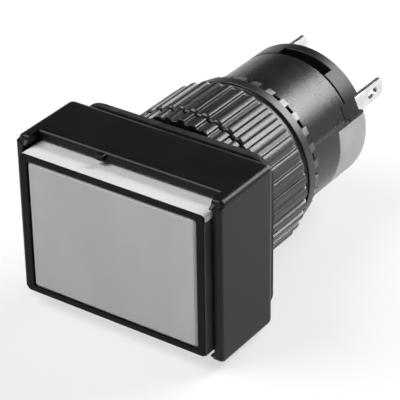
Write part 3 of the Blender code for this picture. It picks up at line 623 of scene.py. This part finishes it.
guide_milk = milky("guide_milk", (0.76, 0.77, 0.77), (0.83, 0.84, 0.84), 0.35)
seal_rubber = rubber("seal_rubber_bloom", (0.014, 0.014, 0.014))
tin = plated("tin_plate", (0.80, 0.79, 0.77), (0.62, 0.61, 0.58), 0.30)
bronze = plated("spring_bronze", (0.72, 0.47, 0.24), (0.55, 0.33, 0.15), 0.28)
board_green = laminate("board_green")
resistor_lacquer = banded("resistor_lacquer", (0.42, 0.33, 0.21),
                          [(1.9, 2.15, (0.25, 0.05, 0.02)), (2.4, 2.65, (0.02, 0.02, 0.02)),
                           (2.9, 3.15, (0.35, 0.24, 0.04))], 0.4)
diode_black = banded("diode_black", (0.012, 0.012, 0.012), [(-2.5, -2.2, (0.6, 0.6, 0.58))], 0.35)
led_clear = clear_epoxy("led_clear")


# Head and barrel


def rim_setback(x, z):
    """How far the rim stands back: by the recess in the top and bottom walls, by the lip at their ends."""
    in_wall = np.abs(z) > HEAD_HALF[1] - WALL - 0.2
    middle = within(np.abs(x), RECESS_END, soft=STEP) * in_wall
    lip = within(RECESS_LIP_LEVEL - np.abs(z), 0.0, soft=STEP)
    return RECESS_DEPTH * middle + RECESS_LIP * lip * (1 - middle)


def head_shell():
    """The head's wall section (inset, y) carried round its outline.

    The section goes up the well, over the rim, along the outside and over the rear round. Both ends
    of it run flat to the barrel's circle, where the outline's halves and corner are all its radius.
    """
    flat = HEAD_HALF[0] - HEAD_HOLE
    profile = softened([(flat, WELL_FLOOR), (WALL, WELL_FLOOR), (WALL, RIM_FRONT), (0, RIM_FRONT),
                        (0, 0), (flat, 0)],
                       [0, 0.12, RIM_INNER_ROUND, RIM_OUTER_ROUND, HEAD_REAR_ROUND, 0], steps=6)
    inset, y = profile.T
    corner = HEAD_CORNER + (WELL_CORNER - HEAD_CORNER) * np.clip(inset / WALL, 0, 1)
    points = loops(*round_ended(inset, HEAD_HALF, corner, HEAD_HOLE), y,
                   stops_x=[4.0, 9.0, RECESS_END - STEP / 2, RECESS_END + STEP / 2],
                   stops_z=[3.0, RECESS_LIP_LEVEL - STEP / 2, RECESS_LIP_LEVEL + STEP / 2], steps=12)
    front = (y < RIM_FRONT + WALL)[:, None]
    points[..., 1] += np.where(front, rim_setback(points[..., 0], points[..., 2]), 0.0)
    return points


def thread_shape(radius, angle, y):
    """Cut the thread and the keyway into the barrel's outside.

    The thread's valley depth is a trapezoid wave, a clipped triangle, of y / pitch plus the share of
    the turn, which makes it right-handed. It fades in and out at its two ends. The keyway is a flat
    chord on top: radius = bottom / sin(angle).
    """
    phase = (y / THREAD_PITCH + angle / FULL_TURN) % 1.0
    valley = np.clip(THREAD_WAVE_TOP - np.abs(phase - 0.5) * THREAD_WAVE_SLOPE, 0, 1)
    fade_in = np.clip((y - THREAD_START) / THREAD_RUN_IN, 0, 1)
    fade_out = np.clip((BARREL_END - BARREL_CHAMFER / 2 - y) / THREAD_RUN_OUT, 0, 1)
    outside = radius > BARREL_RADIUS - 0.01
    radius = np.where(outside, radius - THREAD_DEPTH * valley * (fade_in * fade_out), radius)
    slot = within(apart(angle, math.pi / 2), KEYWAY_HALF) * (radius > KEYWAY_BOTTOM) * (y > 0.0)
    chord = KEYWAY_BOTTOM / np.maximum(np.sin(angle), 0.5)
    return radius + (np.minimum(radius, chord) - radius) * slot, y


def barrel():
    """The barrel's section (radius, y): the bore inside, and fine steps along the thread outside."""
    steps = np.arange(THREAD_START, BARREL_END - BARREL_CHAMFER, 0.1)
    thread = np.stack([np.full(len(steps), BARREL_RADIUS), steps], axis=1)
    before = [(BARREL_BORE, BARREL_END), (BARREL_BORE, WELL_FLOOR), (BARREL_RADIUS, WELL_FLOOR),
              (BARREL_RADIUS, -0.1), (BARREL_RADIUS, 0.0)]
    after = [(BARREL_RADIUS, BARREL_END - BARREL_CHAMFER), (BARREL_RADIUS - BARREL_CHAMFER, BARREL_END)]
    profile = np.concatenate([before, thread, after])
    edges = (math.pi / 2 - KEYWAY_HALF, math.pi / 2 + KEYWAY_HALF)
    return turned(profile, around(120, edges), thread_shape)


def nib():
    """The small rounded bar in the top recess."""
    return bar(NIB_HALF, 0.12, NIB_ENDS, 0.14, centre=NIB_MIDDLE)


piece("indicator_case", [(head_shell(), True), (nib(), False), (barrel(), True)], case_black, "case",
      ["case"])


# Display


def border():
    """The flat frame round the lens: its section (inset, y) carried round the outline."""
    width = DISPLAY_HALF[0] - WINDOW_HALF[0]
    profile = softened([(0, DISPLAY_FRONT), (0, BORDER_REAR), (width, BORDER_REAR),
                        (width, DISPLAY_FRONT)], [0.07] * 4, steps=4)
    share = profile[:, 0] / width
    half_x, half_z = (outer + (inner - outer) * share for outer, inner in zip(DISPLAY_HALF, WINDOW_HALF))
    return loops(half_x, half_z, np.full(len(share), DISPLAY_CORNER), profile[:, 1], steps=8)


def side_strip(side):
    """The border's strip down one side of the display, which stops short of the holder's top. Its lighter
    grey than the black border is painted sheen.
    """
    inner, outer = SIDE_STRIP
    low, high = -DISPLAY_HALF[1] + 0.1, SIDE_STRIP_TOP
    return bar(((outer - inner) / 2, (high - low) / 2), 0.1, (DISPLAY_FRONT + 0.1, SIDE_STRIP_REAR),
               0.06, centre=(side * (inner + outer) / 2, (high + low) / 2))


def holder_box():
    """The holder's section (inset, y): outside, floor to the light hole, cavity, shoulder and rebate."""
    flat = DISPLAY_HALF[0] - HOLDER_HOLE
    profile = softened([(flat, HOLDER_FLOOR), (HOLDER_WALL, HOLDER_FLOOR), (HOLDER_WALL, HOLDER_SHOULDER),
                        (REBATE, HOLDER_SHOULDER), (REBATE, HOLDER_FRONT), (0, HOLDER_FRONT),
                        (0, HOLDER_REAR), (flat, HOLDER_REAR)],
                       [0, 0.1, 0.08, 0.08, 0.08, 0.1, 0.25, 0])
    inset, y = profile.T
    return loops(*round_ended(inset, DISPLAY_HALF, DISPLAY_CORNER, HOLDER_HOLE), y, steps=10)


def lens_plate():
    """The lens's section (inset, y): a flat front, a bevel all round, the edge and a flat back."""
    reach = LENS_HALF[1] - LENS_CAP
    profile = softened([(reach, DISPLAY_FRONT), (LENS_BEVEL, DISPLAY_FRONT),
                        (0, DISPLAY_FRONT + LENS_BEVEL), (0, LENS_REAR), (reach, LENS_REAR)],
                       [0, 0.12, 0.08, 0.05, 0], closed=False)
    inset, y = profile.T
    return capped(loops(LENS_HALF[0] - inset, LENS_HALF[1] - inset,
                        np.clip(DISPLAY_CORNER - inset, 0.02, None), y))


piece("lens_plate", [(lens_plate(), False)], lens_milk, "display", ["display_lens"])
piece("lens_border", [(border(), True)], frame_black, "display", ["display_frame"])
# The side strips' lighter grey is painted sheen on the black border
piece("border_sides", [(side_strip(1), False), (side_strip(-1), False)], border_side_painted_sheen, "display")
piece("holder_box", [(holder_box(), True)], holder_white, "display", ["display_holder"])


# Gasket and rings


def gasket():
    """The gasket's section (share from rim to hole, y) between its outline and its round hole."""
    low, high = GASKET_ENDS
    profile = softened([(0, low), (0, high), (GASKET_WIDTH, high), (GASKET_WIDTH, low)], [0.15] * 4,
                       steps=4)
    share = profile[:, 0] / GASKET_WIDTH
    halves = (outer + (RING_BORE - outer) * share for outer in (*GASKET_HALF, GASKET_CORNER))
    return loops(*halves, profile[:, 1], steps=24)


def apart_share(share):
    """Distance of a share of a turn from the nearest whole number."""
    return np.abs((share + 0.5) % 1.0 - 0.5)


def rib_valley(angle):
    """0 on the rib tops, which lie at whole ribs, and 1 in the flat valleys between them.

    The tops are slightly crowned, and a steep flank runs from them down to the valley.
    """
    share = apart_share(angle * RIBS / FULL_TURN + 0.5)
    return np.interp(share, RIB_SHARES, RIB_DEPTHS)


def rib_angles():
    """The angles that draw the ribs: every break of the rib's section, on both sides of its valley."""
    breaks = np.array(RIB_SHARES + (RIB_FLOOR_BREAK,))
    across = np.unique(np.round(np.concatenate([breaks, 1.0 - breaks]) % 1.0, 6)) + 0.5
    return ((np.arange(RIBS)[:, None] + across) * FULL_TURN / RIBS).ravel()


def lock_ring():
    """A flat ring, ribbed like the nut, whose front edge is a zigzag: y rises by a triangle wave."""
    low, high = LOCK_ENDS
    profile = softened([(RING_BORE, low), (RING_BORE, high), (LOCK_RADIUS, high), (LOCK_RADIUS, low)],
                       [0.0, 0.1, 0.08, 0.08])

    def bites(radius, angle, y):
        wave = np.abs((angle * LOCK_BITES / FULL_TURN) % 1.0 - 0.5) * 2
        start, width = LOCK_FADE
        on_rim = np.clip((radius - LOCK_RADIUS + start) / width, 0, 1)
        front = y < low + LOCK_BITE_REACH
        return radius - RIB_DEPTH * rib_valley(angle) * on_rim, y + LOCK_BITE_DEPTH * wave * front
    angles = np.concatenate([around(LOCK_BITES * 8), rib_angles() % FULL_TURN])
    return turned(profile, np.unique(np.round(angles, 6)), bites)


def tongue():
    """The rounded bar inside the lock ring that runs in the barrel's keyway."""
    return bar(TONGUE_HALF, 0.1, TONGUE_ENDS, 0.1, centre=(0.0, TONGUE_HEIGHT))


def ribbed_shape(radius, angle, y):
    """Ribs on the grip and teeth on the crown.

    Over one tooth a trapezoid wave of the angle pulls the crown's end back to the foot of the gap.
    """
    start, width = GRIP_FADE
    grip = np.clip((radius - GRIP_RADIUS + start) / width, 0, 1) * (y < GRIP_REAR + 0.01)
    radius = radius - RIB_DEPTH * rib_valley(angle) * grip
    tooth = ((angle - TOOTH_TURN) * TEETH / FULL_TURN) % 1.0
    gap = np.clip((TOOTH_GAP + TOOTH_FLANK - apart_share(tooth - 0.5)) / TOOTH_FLANK, 0, 1)
    foot = CROWN_END - TOOTH_HEIGHT
    return radius, np.where(y > foot, y - (y - foot) * gap, y)


def mounting_ring():
    """The nut's section (radius, y): bore, grip with a chamfer at both ends, neck, and thinner crown."""
    foot = CROWN_END - TOOTH_HEIGHT
    profile = softened([(RING_BORE, GRIP_FRONT), (GRIP_RADIUS - GRIP_BEVEL, GRIP_FRONT),
                        (GRIP_RADIUS, GRIP_FRONT + GRIP_BEVEL), (GRIP_RADIUS, GRIP_REAR - GRIP_CHAMFER),
                        (GRIP_RADIUS - GRIP_CHAMFER, GRIP_REAR), (NECK_RADIUS, GRIP_REAR),
                        (NECK_RADIUS, NECK_REAR), (CROWN_RADIUS, NECK_REAR), (CROWN_RADIUS, foot),
                        (CROWN_TIP, CROWN_END), (RING_BORE, CROWN_END), (RING_BORE, foot)],
                       [0.1, 0.15, 0.25, 0.25, 0.15, 0.1, 0.1, 0.1, 0.0, 0.1, 0.06, 0.0], steps=4)
    flank_end = TOOTH_GAP + TOOTH_FLANK
    breaks = np.array([TOOTH_GAP - 0.02, TOOTH_GAP, flank_end, flank_end + 0.02])
    tooth_marks = np.arange(TEETH)[:, None] + 0.5 + np.concatenate([-breaks, breaks])
    angles = np.concatenate([rib_angles(), tooth_marks.ravel() * FULL_TURN / TEETH + TOOTH_TURN])
    return turned(profile, np.unique(np.round(angles % FULL_TURN, 6)), ribbed_shape)


piece("panel_seal", [(gasket(), True)], seal_rubber, "case", ["panel_gasket"])
piece("lock_washer", [(lock_ring(), True), (tongue(), False)], ring_black, "lock_ring",
      ["lock_ring"])
piece("ribbed_nut", [(mounting_ring(), True)], ring_black, "mounting_ring",
      ["mounting_ring"])


# Socket body, base and tabs


def side_grooves(radius, angle):
    """The two grooves: inside their width the radius drops to the flat chord bottom / cos(offset)."""
    for middle in GROOVES:
        offset = apart(angle, middle)
        inside = within(offset, GROOVE_HALF)
        chord = np.minimum(radius, GROOVE_BOTTOM / np.cos(np.minimum(offset, 0.2)))
        radius = radius + (chord - radius) * inside
    return radius


def under_latches(radius, angle):
    """Inside the latches' angles, widened by the seam, the radius drops to the latches' seat."""
    for middle in LATCHES:
        inside = within(apart(angle, middle), LATCH_HALF + SEAM / BARREL_RADIUS)
        radius = radius + (np.minimum(radius, LATCH_INNER - SEAM) - radius) * inside
    return radius


def marked_angles(count):
    """Even angles with more beside the edges of the grooves, the latches and the release slot."""
    marks = [(middle, GROOVE_HALF) for middle in GROOVES]
    marks += [(middle, LATCH_HALF + SEAM / BARREL_RADIUS) for middle in LATCHES]
    marks += [(SLOT_MIDDLE, SLOT_HALF)]
    return around(count, [middle + sign * half for middle, half in marks for sign in (-1, 1)])


def socket_body():
    """The body's section (radius, y) from the chamber's floor, round the spigot, to the closed rear."""
    seat = LATCH_FRONT - SEAM
    profile = softened([(0, CHAMBER_FLOOR), (CHAMBER_RADIUS, CHAMBER_FLOOR),
                        (CHAMBER_RADIUS, SPIGOT_FRONT), (SPIGOT_RADIUS, SPIGOT_FRONT),
                        (SPIGOT_RADIUS, SOCKET_FRONT), (BARREL_RADIUS, SOCKET_FRONT),
                        (BARREL_RADIUS, seat - STEP / 2), (BARREL_RADIUS, seat + STEP / 2),
                        (BARREL_RADIUS, SOCKET_REAR), (0, SOCKET_REAR)],
                       [0, 0.1, 0.1, 0.15, 0.1, 0.15, 0, 0, 0.12, 0], closed=False)

    def shape(radius, angle, y):
        grooved = side_grooves(radius, angle)
        sunk = grooved + (under_latches(grooved, angle) - grooved) * within(-y, -seat, soft=STEP)
        return np.where(radius > SOCKET_SIDE, sunk, radius), y
    return turned(profile, marked_angles(160), shape)


def spigot_key():
    """The rounded bar under the spigot that keeps it from turning in the barrel."""
    return bar(KEY_HALF, 0.1, KEY_ENDS, 0.12, centre=(0.0, KEY_HEIGHT))


def terminal_base():
    """The base's section (radius, y): a disc whose front edge is set back in the release slot.

    The side drops under the two latches and has the same grooves as the body.
    """
    sink = BARREL_RADIUS - SLOT_SINK
    profile = softened([(0, BASE_FRONT), (sink - 0.01, BASE_FRONT), (sink + 0.01, BASE_FRONT),
                        (BARREL_RADIUS, BASE_FRONT), (BARREL_RADIUS, BASE_REAR - BASE_CHAMFER),
                        (BARREL_RADIUS - BASE_CHAMFER, BASE_REAR), (0, BASE_REAR)],
                       [0, 0, 0, 0.1, 0.06, 0.06, 0], closed=False)

    def shape(radius, angle, y):
        slot = within(apart(angle, SLOT_MIDDLE), SLOT_HALF) * (radius > sink) * (y < BASE_FRONT + 0.3)
        sunk = under_latches(side_grooves(radius, angle), angle)
        return np.where(radius > LATCH_INNER - SEAM, sunk, radius), y + (SLOT_REAR - BASE_FRONT) * slot
    return turned(profile, marked_angles(160), shape)


def side_latch(middle):
    """A curved shell: a flat bar bent round the axis.

    The bar's x becomes the angle, middle + x / radius, and its z the height over the middle radius.
    Both ends of the bar close on its middle line.
    """
    radius = (LATCH_INNER + BARREL_RADIUS) / 2
    half = (radius * LATCH_HALF, (BARREL_RADIUS - LATCH_INNER) / 2)
    flat = bar(half, 0.12, (LATCH_FRONT, BASE_REAR), 0.12, steps=4,
               stops_x=np.linspace(0.1, 0.9, 9) * half[0])[1:-1]
    angle = middle + flat[..., 0] / radius
    reach = radius + flat[..., 2]
    return np.stack([reach * np.cos(angle), flat[..., 1], reach * np.sin(angle)], axis=-1)


def tab(x, z):
    """A solder tab as a plate round its eye.

    The section (share from eye to edge, height across the sheet) is carried round the eye. At each
    angle the eye's reach is a slot with round ends, and the plate's reach is the nearest of its
    sides: distance of the side / cosine of the angle to it.
    """
    eye_y = TAB_TIP - EYE_FROM_TIP
    behind = eye_y - (BASE_REAR - TAB_SINK)
    diagonal = math.pi / 4
    slant = (EYE_FROM_TIP + TAB_HALF - TAB_TAPER) / math.sqrt(2)
    normals = np.array([0, diagonal, math.pi / 2, math.pi, -math.pi / 2, -diagonal])
    sides = np.array([EYE_FROM_TIP, slant, TAB_HALF, behind, TAB_HALF, slant])
    corners = np.array([(EYE_FROM_TIP, TAB_HALF - TAB_TAPER), (EYE_FROM_TIP - TAB_TAPER, TAB_HALF),
                        (-behind, TAB_HALF)])
    corner_angles = np.arctan2(corners[:, 1], corners[:, 0])
    angles = around(96, np.concatenate([corner_angles, -corner_angles]), spread=0.003)
    face = TAB_THICKNESS / 2
    near_face = face - TAB_EDGE * 0.3
    flank = face - TAB_EDGE
    across = np.array([-near_face, -face, -face, -near_face, -flank,
                       flank, near_face, face, face, near_face])
    share = np.array([0, 0, 1, 1, 1, 1, 1, 1, 0, 0])
    step_in = np.array([0, 1, -1, -0.3, 0, 0, -0.3, -1, 1, 0]) * TAB_EDGE
    direction = np.stack([np.cos(angles), np.sin(angles)], axis=1)
    facing = np.cos(angles[:, None] - normals[None, :])
    plate = np.where(facing > 1e-3, sides / np.maximum(facing, 1e-3), 1e3).min(axis=1)
    cosine = np.abs(direction[:, 0])
    sine = np.abs(direction[:, 1])
    straight = EYE_RADIUS / np.maximum(sine, 1e-6)
    bulge = EYE_STRETCH * cosine + np.sqrt(np.maximum(EYE_RADIUS ** 2 - (EYE_STRETCH * sine) ** 2, 0))
    eye = np.where(straight * cosine < EYE_STRETCH, straight, bulge)
    reach = eye[None] + (plate - eye)[None] * share[:, None] + step_in[:, None]
    y = eye_y + reach * direction[None, :, 0]
    height = z + reach * direction[None, :, 1]
    return np.stack([x + np.repeat(across[:, None], len(angles), axis=1), y, height], axis=-1)


def root_plates(x, z):
    """The sheet inside the socket: a tall bar in the body and a lower one through the base."""
    high = z + TAB_HALF
    tall = bar((ROOT_HALF, (high - ROOT_LOW) / 2), ROOT_EDGE, (ROOT_FRONT, SOCKET_REAR), ROOT_EDGE,
               centre=(x, (ROOT_LOW + high) / 2), steps=2)
    through = bar((ROOT_HALF, TAB_HALF), ROOT_EDGE, (SOCKET_REAR - 0.1, ROOT_REAR), ROOT_EDGE,
                  centre=(x, z), steps=2)
    return [(tall, False), (through, False)]


def base_slot(x, z):
    """The square-cut bar that opens the base round a tab's root."""
    half = (ROOT_HALF + BASE_SLOT_GAP, TAB_HALF + BASE_SLOT_GAP)
    ends = (BASE_REAR - BASE_SLOT_DEPTH, BASE_REAR + 1.0)
    return bar(half, ROOT_EDGE, ends, 0.01, centre=(x, z), steps=2)


piece("socket_housing", [(socket_body(), False), (spigot_key(), False)], socket_black, "socket",
      ["socket_body"])
base_disc = piece("base_disc", [(terminal_base(), False)], base_black, "socket",
                  ["terminal_base"])
cut_through(base_disc, [piece(f"{name}_slot", [(base_slot(x, z), False)], base_black, None)
                        for name, (x, z) in TABS.items()])
for name, middle in zip(("right", "left"), LATCHES):
    piece(f"latch_{name}", [(side_latch(middle), False)], latch_grey, "socket",
          [f"side_latch_{name}"])
for name, (x, z) in TABS.items():
    piece(f"{name}_tab", [(tab(x, z), True)] + root_plates(x, z), tin, "socket", [name])


# Lamp


def led_body():
    """The LED's section (radius, y): a half-round dome, a straight side, and a rim at the rear."""
    turn = np.linspace(0, math.pi / 2, 14)
    dome = np.stack([LED_RADIUS * np.sin(turn), LED_DOME - LED_RADIUS * np.cos(turn)], axis=1)
    side = softened([(LED_RADIUS, LED_DOME), (LED_RADIUS, LED_RIM_FRONT), (LED_RIM_RADIUS, LED_RIM_FRONT),
                     (LED_RIM_RADIUS, LED_REAR), (0, LED_REAR)], [0, 0.05, 0.1, 0.15, 0], closed=False)
    return turned(np.concatenate([dome, side[1:]]), around(64))


def led_leg(side):
    """One of the LED's two square legs, from inside its back to the board."""
    return bar((LEG_HALF, LEG_HALF), LEG_EDGE, LEG_ENDS, LEG_EDGE, centre=(side * LEG_APART, 0.0), steps=2)


def reflector():
    """A flared cup whose inner radius grows with the root of the distance from its foot."""
    share = np.linspace(0, 1, 16)
    inner = REFLECTOR_FOOT + REFLECTOR_FLARE * np.sqrt(1 - share)
    y = LED_REAR - REFLECTOR_DEPTH + REFLECTOR_DEPTH * share
    inside = np.stack([inner, y], axis=1)
    outside = np.stack([np.minimum(inner + REFLECTOR_WALL, REFLECTOR_RADIUS), y], axis=1)
    return turned(np.concatenate([inside, outside[::-1]]), around(72))


piece("led", [(led_body(), False), (led_leg(1), False), (led_leg(-1), False)], led_clear, "socket",
      ["lamp_led"])
piece("led_reflector", [(reflector(), True)], lamp_white, "socket", ["lamp_reflector"])


# Finishes of the kept solids

KEPT = {
    "legend_plate": guide_milk, "light_guide": guide_milk, "display_seal": seal_rubber,
    "contact_right": bronze, "contact_left": bronze, "lamp_pin_right": tin, "lamp_pin_left": tin,
    "lamp_cup": lamp_white, "lamp_board": board_green, "lamp_resistor": resistor_lacquer,
    "lamp_diode": diode_black,
}
for name, material in KEPT.items():
    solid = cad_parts[name]
    if not solid.data.materials:
        solid.data.materials.append(material)
    for index in range(len(solid.data.materials)):
        solid.data.materials[index] = material


# Floor, light and camera

FLOOR_LEVEL = -9.52
FLOOR_FLAT = 700.0
FLOOR_RISE = 200.0
FLOOR_GLOW = 0.6
ROOM_LEVEL = 0.08
LIGHT_AIM = (0.0, 8.0, 0.0)


def sweep():
    """A round white floor that curves up at its edge.

    Along the curve the radius is flat + rise sin a and the height is rise (1 - cos a).
    """
    turn = np.linspace(0, math.pi / 2, 13)
    radius = np.concatenate([[0.0, 60.0, 250.0], FLOOR_FLAT + FLOOR_RISE * np.sin(turn)])
    height = np.concatenate([[0.0, 0.0, 0.0], FLOOR_RISE * (1 - np.cos(turn))]) + FLOOR_LEVEL
    angle = around(64)[None, :]
    x, y = radius[:, None] * np.cos(angle), radius[:, None] * np.sin(angle)
    return np.stack([x, y, np.broadcast_to(height[:, None], x.shape)], axis=-1)


def glowing_paper():
    """White paper that also shows itself a little brighter to the camera, to gloss and through glass."""
    paper = Finish("paper")
    paper.set(Base_Color=paper.blend(paper.noise(30.0).band(0.3, 0.7), (0.925, 0.925, 0.925),
                                     (0.935, 0.935, 0.935)),
              Roughness=0.9, Specular_IOR_Level=0.1)
    seen = [paper.node("ShaderNodeLightPath", output=f"Is {kind} Ray") for kind in
            ("Camera", "Glossy", "Transmission")]
    white = paper.node("ShaderNodeEmission", {}, {"Color": (1.0, 1.0, 1.0), "Strength": 1.0})
    share = (seen[0] + seen[1] + seen[2]).math("MINIMUM", 1.0) * FLOOR_GLOW
    mixed = paper.node("ShaderNodeMixShader", {}, {0: share, 1: Value(paper, paper.shader.outputs[0]),
                                                   2: white})
    paper.tree.links.new(mixed.socket, paper.tree.nodes["Material Output"].inputs["Surface"])
    return paper.material


floor = piece("floor", [(sweep(), False)], glowing_paper(), None, sharp=math.pi)
floor.data.flip_normals()

world = bpy.data.worlds.new("soft_room")
bpy.context.scene.world = world
world.use_nodes = True
sky = world.node_tree.nodes["Background"]
sky.inputs["Color"].default_value = (1.0, 1.0, 1.0, 1.0)
sky.inputs["Strength"].default_value = ROOM_LEVEL


def lamp(name, direction, along, distance, sizes, power):
    """An oval soft light that faces the object from a direction, its long side lying along another."""
    light = bpy.data.lights.new(name, "AREA")
    light.shape = "ELLIPSE"
    light.size, light.size_y = (size * MM for size in sizes)
    light.energy = power
    made = bpy.data.objects.new(name, light)
    towards = Vector(direction).normalized()
    short = towards.cross(Vector(along)).normalized()
    long = short.cross(towards)
    place = (Vector(LIGHT_AIM) + towards * distance) * MM
    turn = Matrix((long, short, towards)).transposed().to_4x4()
    made.matrix_world = Matrix.Translation(place) @ turn
    bpy.context.collection.objects.link(made)


lamp("behind_strip", (0.40, 0.70, 0.595), (-0.739, 0.0, 0.497), 420.0, (300.0, 60.0), 1.15)
lamp("behind_low", (0.12, 0.94, 0.27), (0.53, 0.02, -0.33), 420.0, (280.0, 80.0), 1.1)
lamp("front_left", (-0.46, -0.38, 0.80), (1.0, 0.0, 0.0), 450.0, (320.0, 320.0), 1.45)
lamp("front_low", (0.1, -0.97, 0.2), (1.0, 0.0, 0.0), 500.0, (300.0, 300.0), 0.25)

AZIMUTH = math.radians(35.178)
ELEVATION = math.radians(31.044)
ROLL = math.radians(-0.941)
TARGET = Vector((9.776, -9.2, 8.849)) * MM
DISTANCE = 187.357 * MM
FOCAL_LENGTH = 184.65
SENSOR_WIDTH = 36.0

camera_data = bpy.data.cameras.new("camera")
camera_data.lens = FOCAL_LENGTH
camera_data.sensor_width = SENSOR_WIDTH
camera_data.clip_start = 0.01
camera_data.clip_end = 10.0
camera = bpy.data.objects.new("camera", camera_data)
back = Vector((math.sin(AZIMUTH) * math.cos(ELEVATION), -math.cos(AZIMUTH) * math.cos(ELEVATION),
               math.sin(ELEVATION)))
level_right = Vector((0, 0, 1)).cross(back).normalized()
level_up = back.cross(level_right)
right = math.cos(ROLL) * level_right + math.sin(ROLL) * level_up
up = -math.sin(ROLL) * level_right + math.cos(ROLL) * level_up
place = TARGET + back * DISTANCE
camera.matrix_world = Matrix(((right.x, up.x, back.x, place.x), (right.y, up.y, back.y, place.y),
                              (right.z, up.z, back.z, place.z), (0, 0, 0, 1)))
bpy.context.collection.objects.link(camera)
bpy.context.scene.camera = camera
bpy.context.scene.view_settings.view_transform = "Standard"
